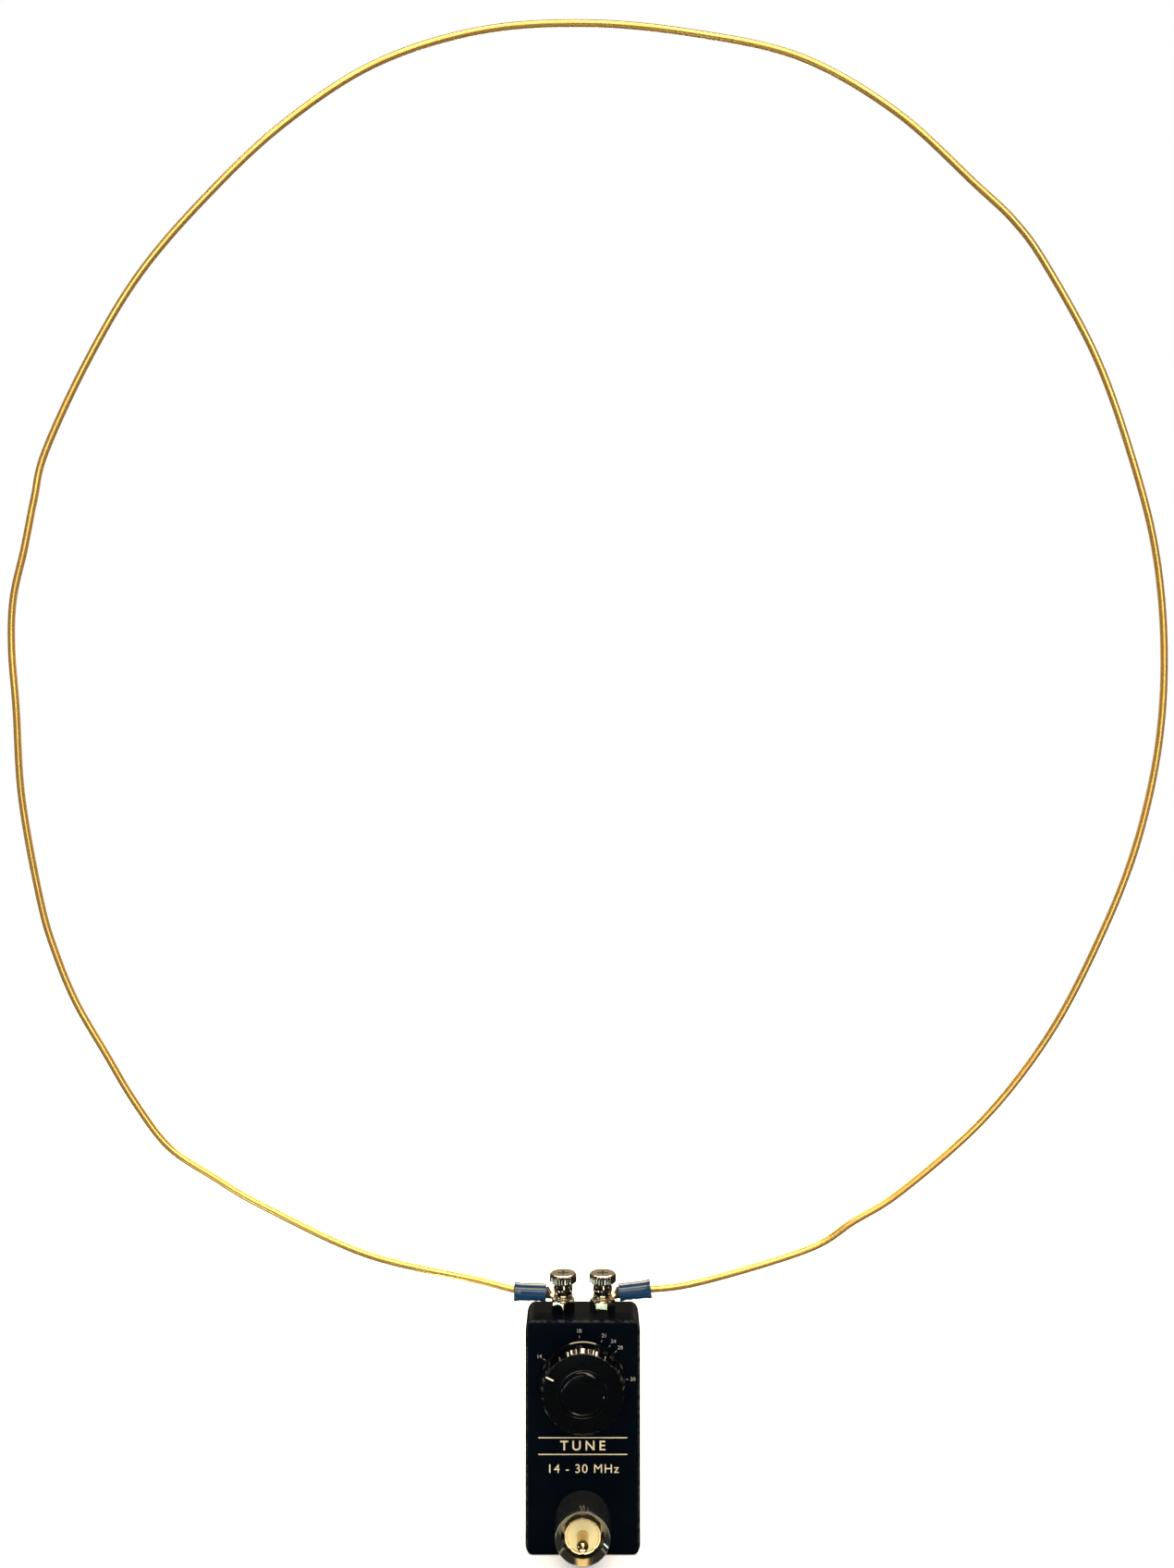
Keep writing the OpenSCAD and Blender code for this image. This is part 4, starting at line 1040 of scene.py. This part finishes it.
def plug_pin():
    """The centre pin: round tip with a solder hole, thin stem, solder cup."""
    foot, tip = back_and_front("plug_pin")
    face = PANEL_Y - low("plug_insulator").y
    pin_r = 1.98 * MM
    pin_edge = 0.08 * MM
    pin_sides = 64
    stem_r = 1.68 * MM
    stem_edge = 0.1 * MM
    cup_r = 1 * MM
    cup_top = foot + 2.5 * MM
    tip_steps = 14
    hole_r = 0.42 * MM
    hole_end_r = 0.9 * hole_r
    hole_end = tip - 0.9 * MM
    corners = [(0, cup_top, 0), (cup_r, cup_top, 0), (cup_r, foot, 0), (stem_r, foot, stem_edge)]
    corners += [(stem_r, face, 0), (pin_r, face, pin_edge)]
    for k in range(tip_steps + 1):
        a = math.acos(hole_r / pin_r) * k / tip_steps
        corners.append((pin_r * math.cos(a), tip - pin_r + pin_r * math.sin(a), 0))
    corners += [(hole_end_r, hole_end, 0), (0, hole_end, 0)]
    pin = turned(soft_profile(corners), pin_sides)
    piece("rounded_pin", pin, "case", "pin_gold", ["plug_pin"], PLUG_AXIS)


# Printed marks

INK = 0.02 * MM
PRINT_SLOT = "pointer_white"


def words(name, text, height, x, z, finish, weight=0.0, spacing=1.0):
    """Printed words or figures, centred at a place on the panel."""
    cap_share = 0.72
    same_point = INK / 10
    curve = bpy.data.curves.new(name, "FONT")
    curve.body = text
    curve.size = height / cap_share
    curve.offset = weight
    curve.space_character = spacing
    curve.align_x = "CENTER"
    curve.align_y = "CENTER"
    curve.extrude = INK
    writing = bpy.data.objects.new(name, curve)
    bpy.context.scene.collection.objects.link(writing)
    evaluated = writing.evaluated_get(bpy.context.evaluated_depsgraph_get())
    bm = bmesh.new()
    bm.from_mesh(evaluated.to_mesh())
    evaluated.to_mesh_clear()
    bpy.data.objects.remove(writing)
    bmesh.ops.remove_doubles(bm, verts=bm.verts, dist=same_point)
    piece(name, bm, "case", PRINT_SLOT, where=out_of_panel(x, z), finish=finish)


def dial():
    """The tuning scale: figures and ticks round the knob, at the angles that the photograph shows."""
    figures = {14: 150.7, 18: 94.5, 21: 64.7, 24: 52.3, 28: 41.7, 30: 2}
    figure_r = 17.4 * MM
    figure_h = 1.35 * MM
    figure_weight = 0.02 * MM
    tick_r = 14.9 * MM
    tick_l = 0.9 * MM
    tick_w = 0.22 * MM
    tick_rounding = 0.1
    for figure, degrees in figures.items():
        angle = math.radians(degrees)
        x = figure_r * math.cos(angle)
        z = KNOB_Z + figure_r * math.sin(angle)
        words("dial_figure_%d" % figure, str(figure), figure_h, x, z, DIAL_INK, figure_weight)
        where = KNOB_AXIS @ Matrix.Rotation(angle, 4, "Z") @ Matrix.Translation((tick_r, 0, 0))
        tick = strip(tick_l, tick_w, INK, tick_rounding)
        piece("dial_tick_%d" % figure, tick, "case", PRINT_SLOT, where=where, finish=DIAL_INK)


def labels():
    """Generic words between the knob and the plug: what the knob does, and the range of its scale."""
    tune_z = CASE_Z[0] + 38.4 * MM
    tune_h = 3.4 * MM
    tune_weight = 0.06 * MM
    range_z = CASE_Z[0] + 30.4 * MM
    range_h = 3.1 * MM
    rule_l = 31 * MM
    rule_w = 0.35 * MM
    rule_up = 2.9 * MM
    rule_rounding = 0.05
    words("tune_label", "TUNE", tune_h, 0, tune_z, LABEL_INK, tune_weight, spacing=1.5)
    words("range_label", "14 - 30 MHz", range_h, 0, range_z, LABEL_INK, spacing=1.15)
    for name, up in (("upper_rule", rule_up), ("lower_rule", -rule_up)):
        where = out_of_panel(-rule_l / 2, tune_z + up)
        rule = strip(rule_l, rule_w, INK, rule_rounding)
        piece(name, rule, "case", PRINT_SLOT, where=where, finish=LABEL_INK)


# Stage

WHITE = rgb(1, 1, 1)


def light_path(tree, *rays):
    """1 for the named rays, and 0 for the rest."""
    path = node(tree, "LightPath").outputs
    total = path[rays[0]]
    for ray in rays[1:]:
        total = calculate(tree, "MAXIMUM", total, path[ray])
    return total


def floor():
    """A wide floor under the case: white to the eye where no shadow falls, and dim in the metal."""
    half = 4.0
    segments = 8
    floor_gap = 0.02 * MM
    paper_colour = rgb(0.8, 0.8, 0.8)
    mirrored_colour = rgb(0.014, 0.016, 0.02)
    near = 0.1
    far = 0.7
    near_glow = 0.42
    far_glow = 0.8
    bm = bmesh.new()
    bmesh.ops.create_grid(bm, x_segments=segments, y_segments=segments, size=half)
    made = object_of("studio_floor", bm)
    made.location = (0, 0, CASE_Z[0] - floor_gap)
    material = bpy.data.materials.new("floor_paper")
    material.use_nodes = True
    tree = material.node_tree
    tree.nodes.remove(tree.nodes["Principled BSDF"])
    where = node(tree, "TexCoord").outputs["Object"]
    away = node(tree, "VectorMath", {0: where}, operation="LENGTH").outputs["Value"]
    gloss = light_path(tree, "Is Glossy Ray")
    paper = node(tree, "BsdfDiffuse", {"Color": mix_colour(tree, gloss, paper_colour, mirrored_colour)})
    glow = remap(tree, away, near, far, near_glow, far_glow)
    seen = calculate(tree, "MULTIPLY", light_path(tree, "Is Camera Ray", "Is Transmission Ray"), glow)
    light = node(tree, "Emission", {"Color": WHITE, "Strength": seen})
    both = node(tree, "AddShader", {0: paper.outputs[0], 1: light.outputs[0]})
    tree.links.new(both.outputs[0], tree.nodes["Material Output"].inputs["Surface"])
    made.data.materials.append(material)


def sky():
    """White to the eye, and an even fill for matt surfaces.

    Shiny surfaces mirror a dim warm room, which is paler behind the object than in front of it.
    """
    fill = 0.5
    dim = 0.02
    pale = 0.5
    pale_from = 0.0
    pale_full = 0.9
    room_colour = rgb(1, 0.84, 0.58)
    world = bpy.data.worlds.new("studio")
    bpy.context.scene.world = world
    world.use_nodes = True
    tree = world.node_tree
    background = tree.nodes["Background"]
    toward = node(tree, "SeparateXYZ", {0: node(tree, "TexCoord").outputs["Generated"]}).outputs["Y"]
    room = remap(tree, toward, pale_from, pale_full, dim, pale)
    eye = light_path(tree, "Is Camera Ray", "Is Transmission Ray")
    gloss = light_path(tree, "Is Glossy Ray")
    shaded = calculate(tree, "MULTIPLY_ADD", gloss, calculate(tree, "SUBTRACT", room, fill), fill)
    strength = calculate(tree, "MULTIPLY_ADD", eye, calculate(tree, "SUBTRACT", 1.0, shaded), shaded)
    tree.links.new(mix_colour(tree, gloss, WHITE, room_colour), background.inputs["Color"])
    tree.links.new(strength, background.inputs["Strength"])


def lamp(name, at, aim, size, power, colour):
    """A rectangular lamp that the camera doesn't see."""
    light = bpy.data.lights.new(name, "AREA")
    light.shape = "RECTANGLE"
    light.size = size[0]
    light.size_y = size[1]
    light.energy = power
    light.color = colour
    made = bpy.data.objects.new(name, light)
    bpy.context.scene.collection.objects.link(made)
    made.location = at
    made.rotation_euler = (Vector(aim) - Vector(at)).to_track_quat("-Z", "Y").to_euler()
    made.visible_camera = False


def floor_lamp(name, x, y, size, power, colour):
    """A small lamp that lies on the floor and shines straight up."""
    up = CASE_Z[0] + 0.5 * MM
    lamp(name, at=(x, y, up), aim=(x, y, up + 1), size=size, power=power, colour=colour)


def lamps():
    """Warm lamps above, behind and at each side, one by the camera, and small ones on the floor."""
    warm = (1.0, 0.88, 0.7)
    golden = (1.0, 0.8, 0.52)
    neutral = (1.0, 0.97, 0.92)
    mint = (0.8, 1.0, 0.86)
    case = (0, PANEL_Y, 0.05)
    loop = (0, 0, 0.3)
    lamp("ceiling_lamp", at=(0, -0.6, 1.2), aim=case, size=(1.1, 0.35), power=14.0, colour=golden)
    lamp("window_lamp", at=(0, 0.72, 0.81), aim=case, size=(0.8, 0.3), power=14.0, colour=golden)
    lamp("camera_lamp", at=(0.2, -1.0, 0.35), aim=loop, size=(0.2, 0.8), power=2.0, colour=neutral)
    lamp("upper_lamp", at=(0.1, -0.8, 0.6), aim=case, size=(0.8, 0.16), power=3.2, colour=warm)
    lamp("left_lamp", at=(-0.95, -0.2, 0.12), aim=case, size=(0.12, 0.12), power=0.05, colour=warm)
    lamp("right_lamp", at=(0.95, -0.2, 0.12), aim=case, size=(0.12, 0.12), power=0.07, colour=warm)
    floor_lamp("front_floor_lamp", x=-0.05, y=-0.218, size=(0.1, 0.018), power=0.042, colour=mint)
    floor_lamp("left_floor_lamp", x=-0.2, y=-0.12, size=(0.08, 0.06), power=0.1, colour=mint)
    floor_lamp("side_floor_lamp", x=-0.066, y=-0.005, size=(0.02, 0.03), power=0.02, colour=mint)
    floor_lamp("plug_floor_lamp", x=0, y=-0.014, size=(0.02, 0.009), power=0.0052, colour=golden)


def camera():
    """The photograph's viewpoint: level with the loop, square to the panel."""
    aside = 1.45 * MM
    away = 486.5 * MM
    up = 254.5 * MM
    data = bpy.data.cameras.new("photo_camera")
    data.lens = 33.03
    data.sensor_width = 36.0
    data.sensor_fit = "AUTO"
    data.clip_start = 0.01
    data.clip_end = 100.0
    made = bpy.data.objects.new("photo_camera", data)
    made.location = (aside, -away, up)
    made.rotation_euler = (math.pi / 2, 0, 0)
    bpy.context.scene.collection.objects.link(made)
    bpy.context.scene.camera = made


bpy.context.scene.view_settings.view_transform = "Standard"
camera()
dress_frame()
loop_wire()
for end in SIDE:
    lug(end)
    sleeve(end)
    hex_base(end)
    clamp_washer(end)
    thumb_screw(end)
tuning_knob()
knob_cap()
knob_pointer()
coupling_ring()
plug_insulator()
plug_pin()
dial()
labels()
floor()
sky()
lamps()
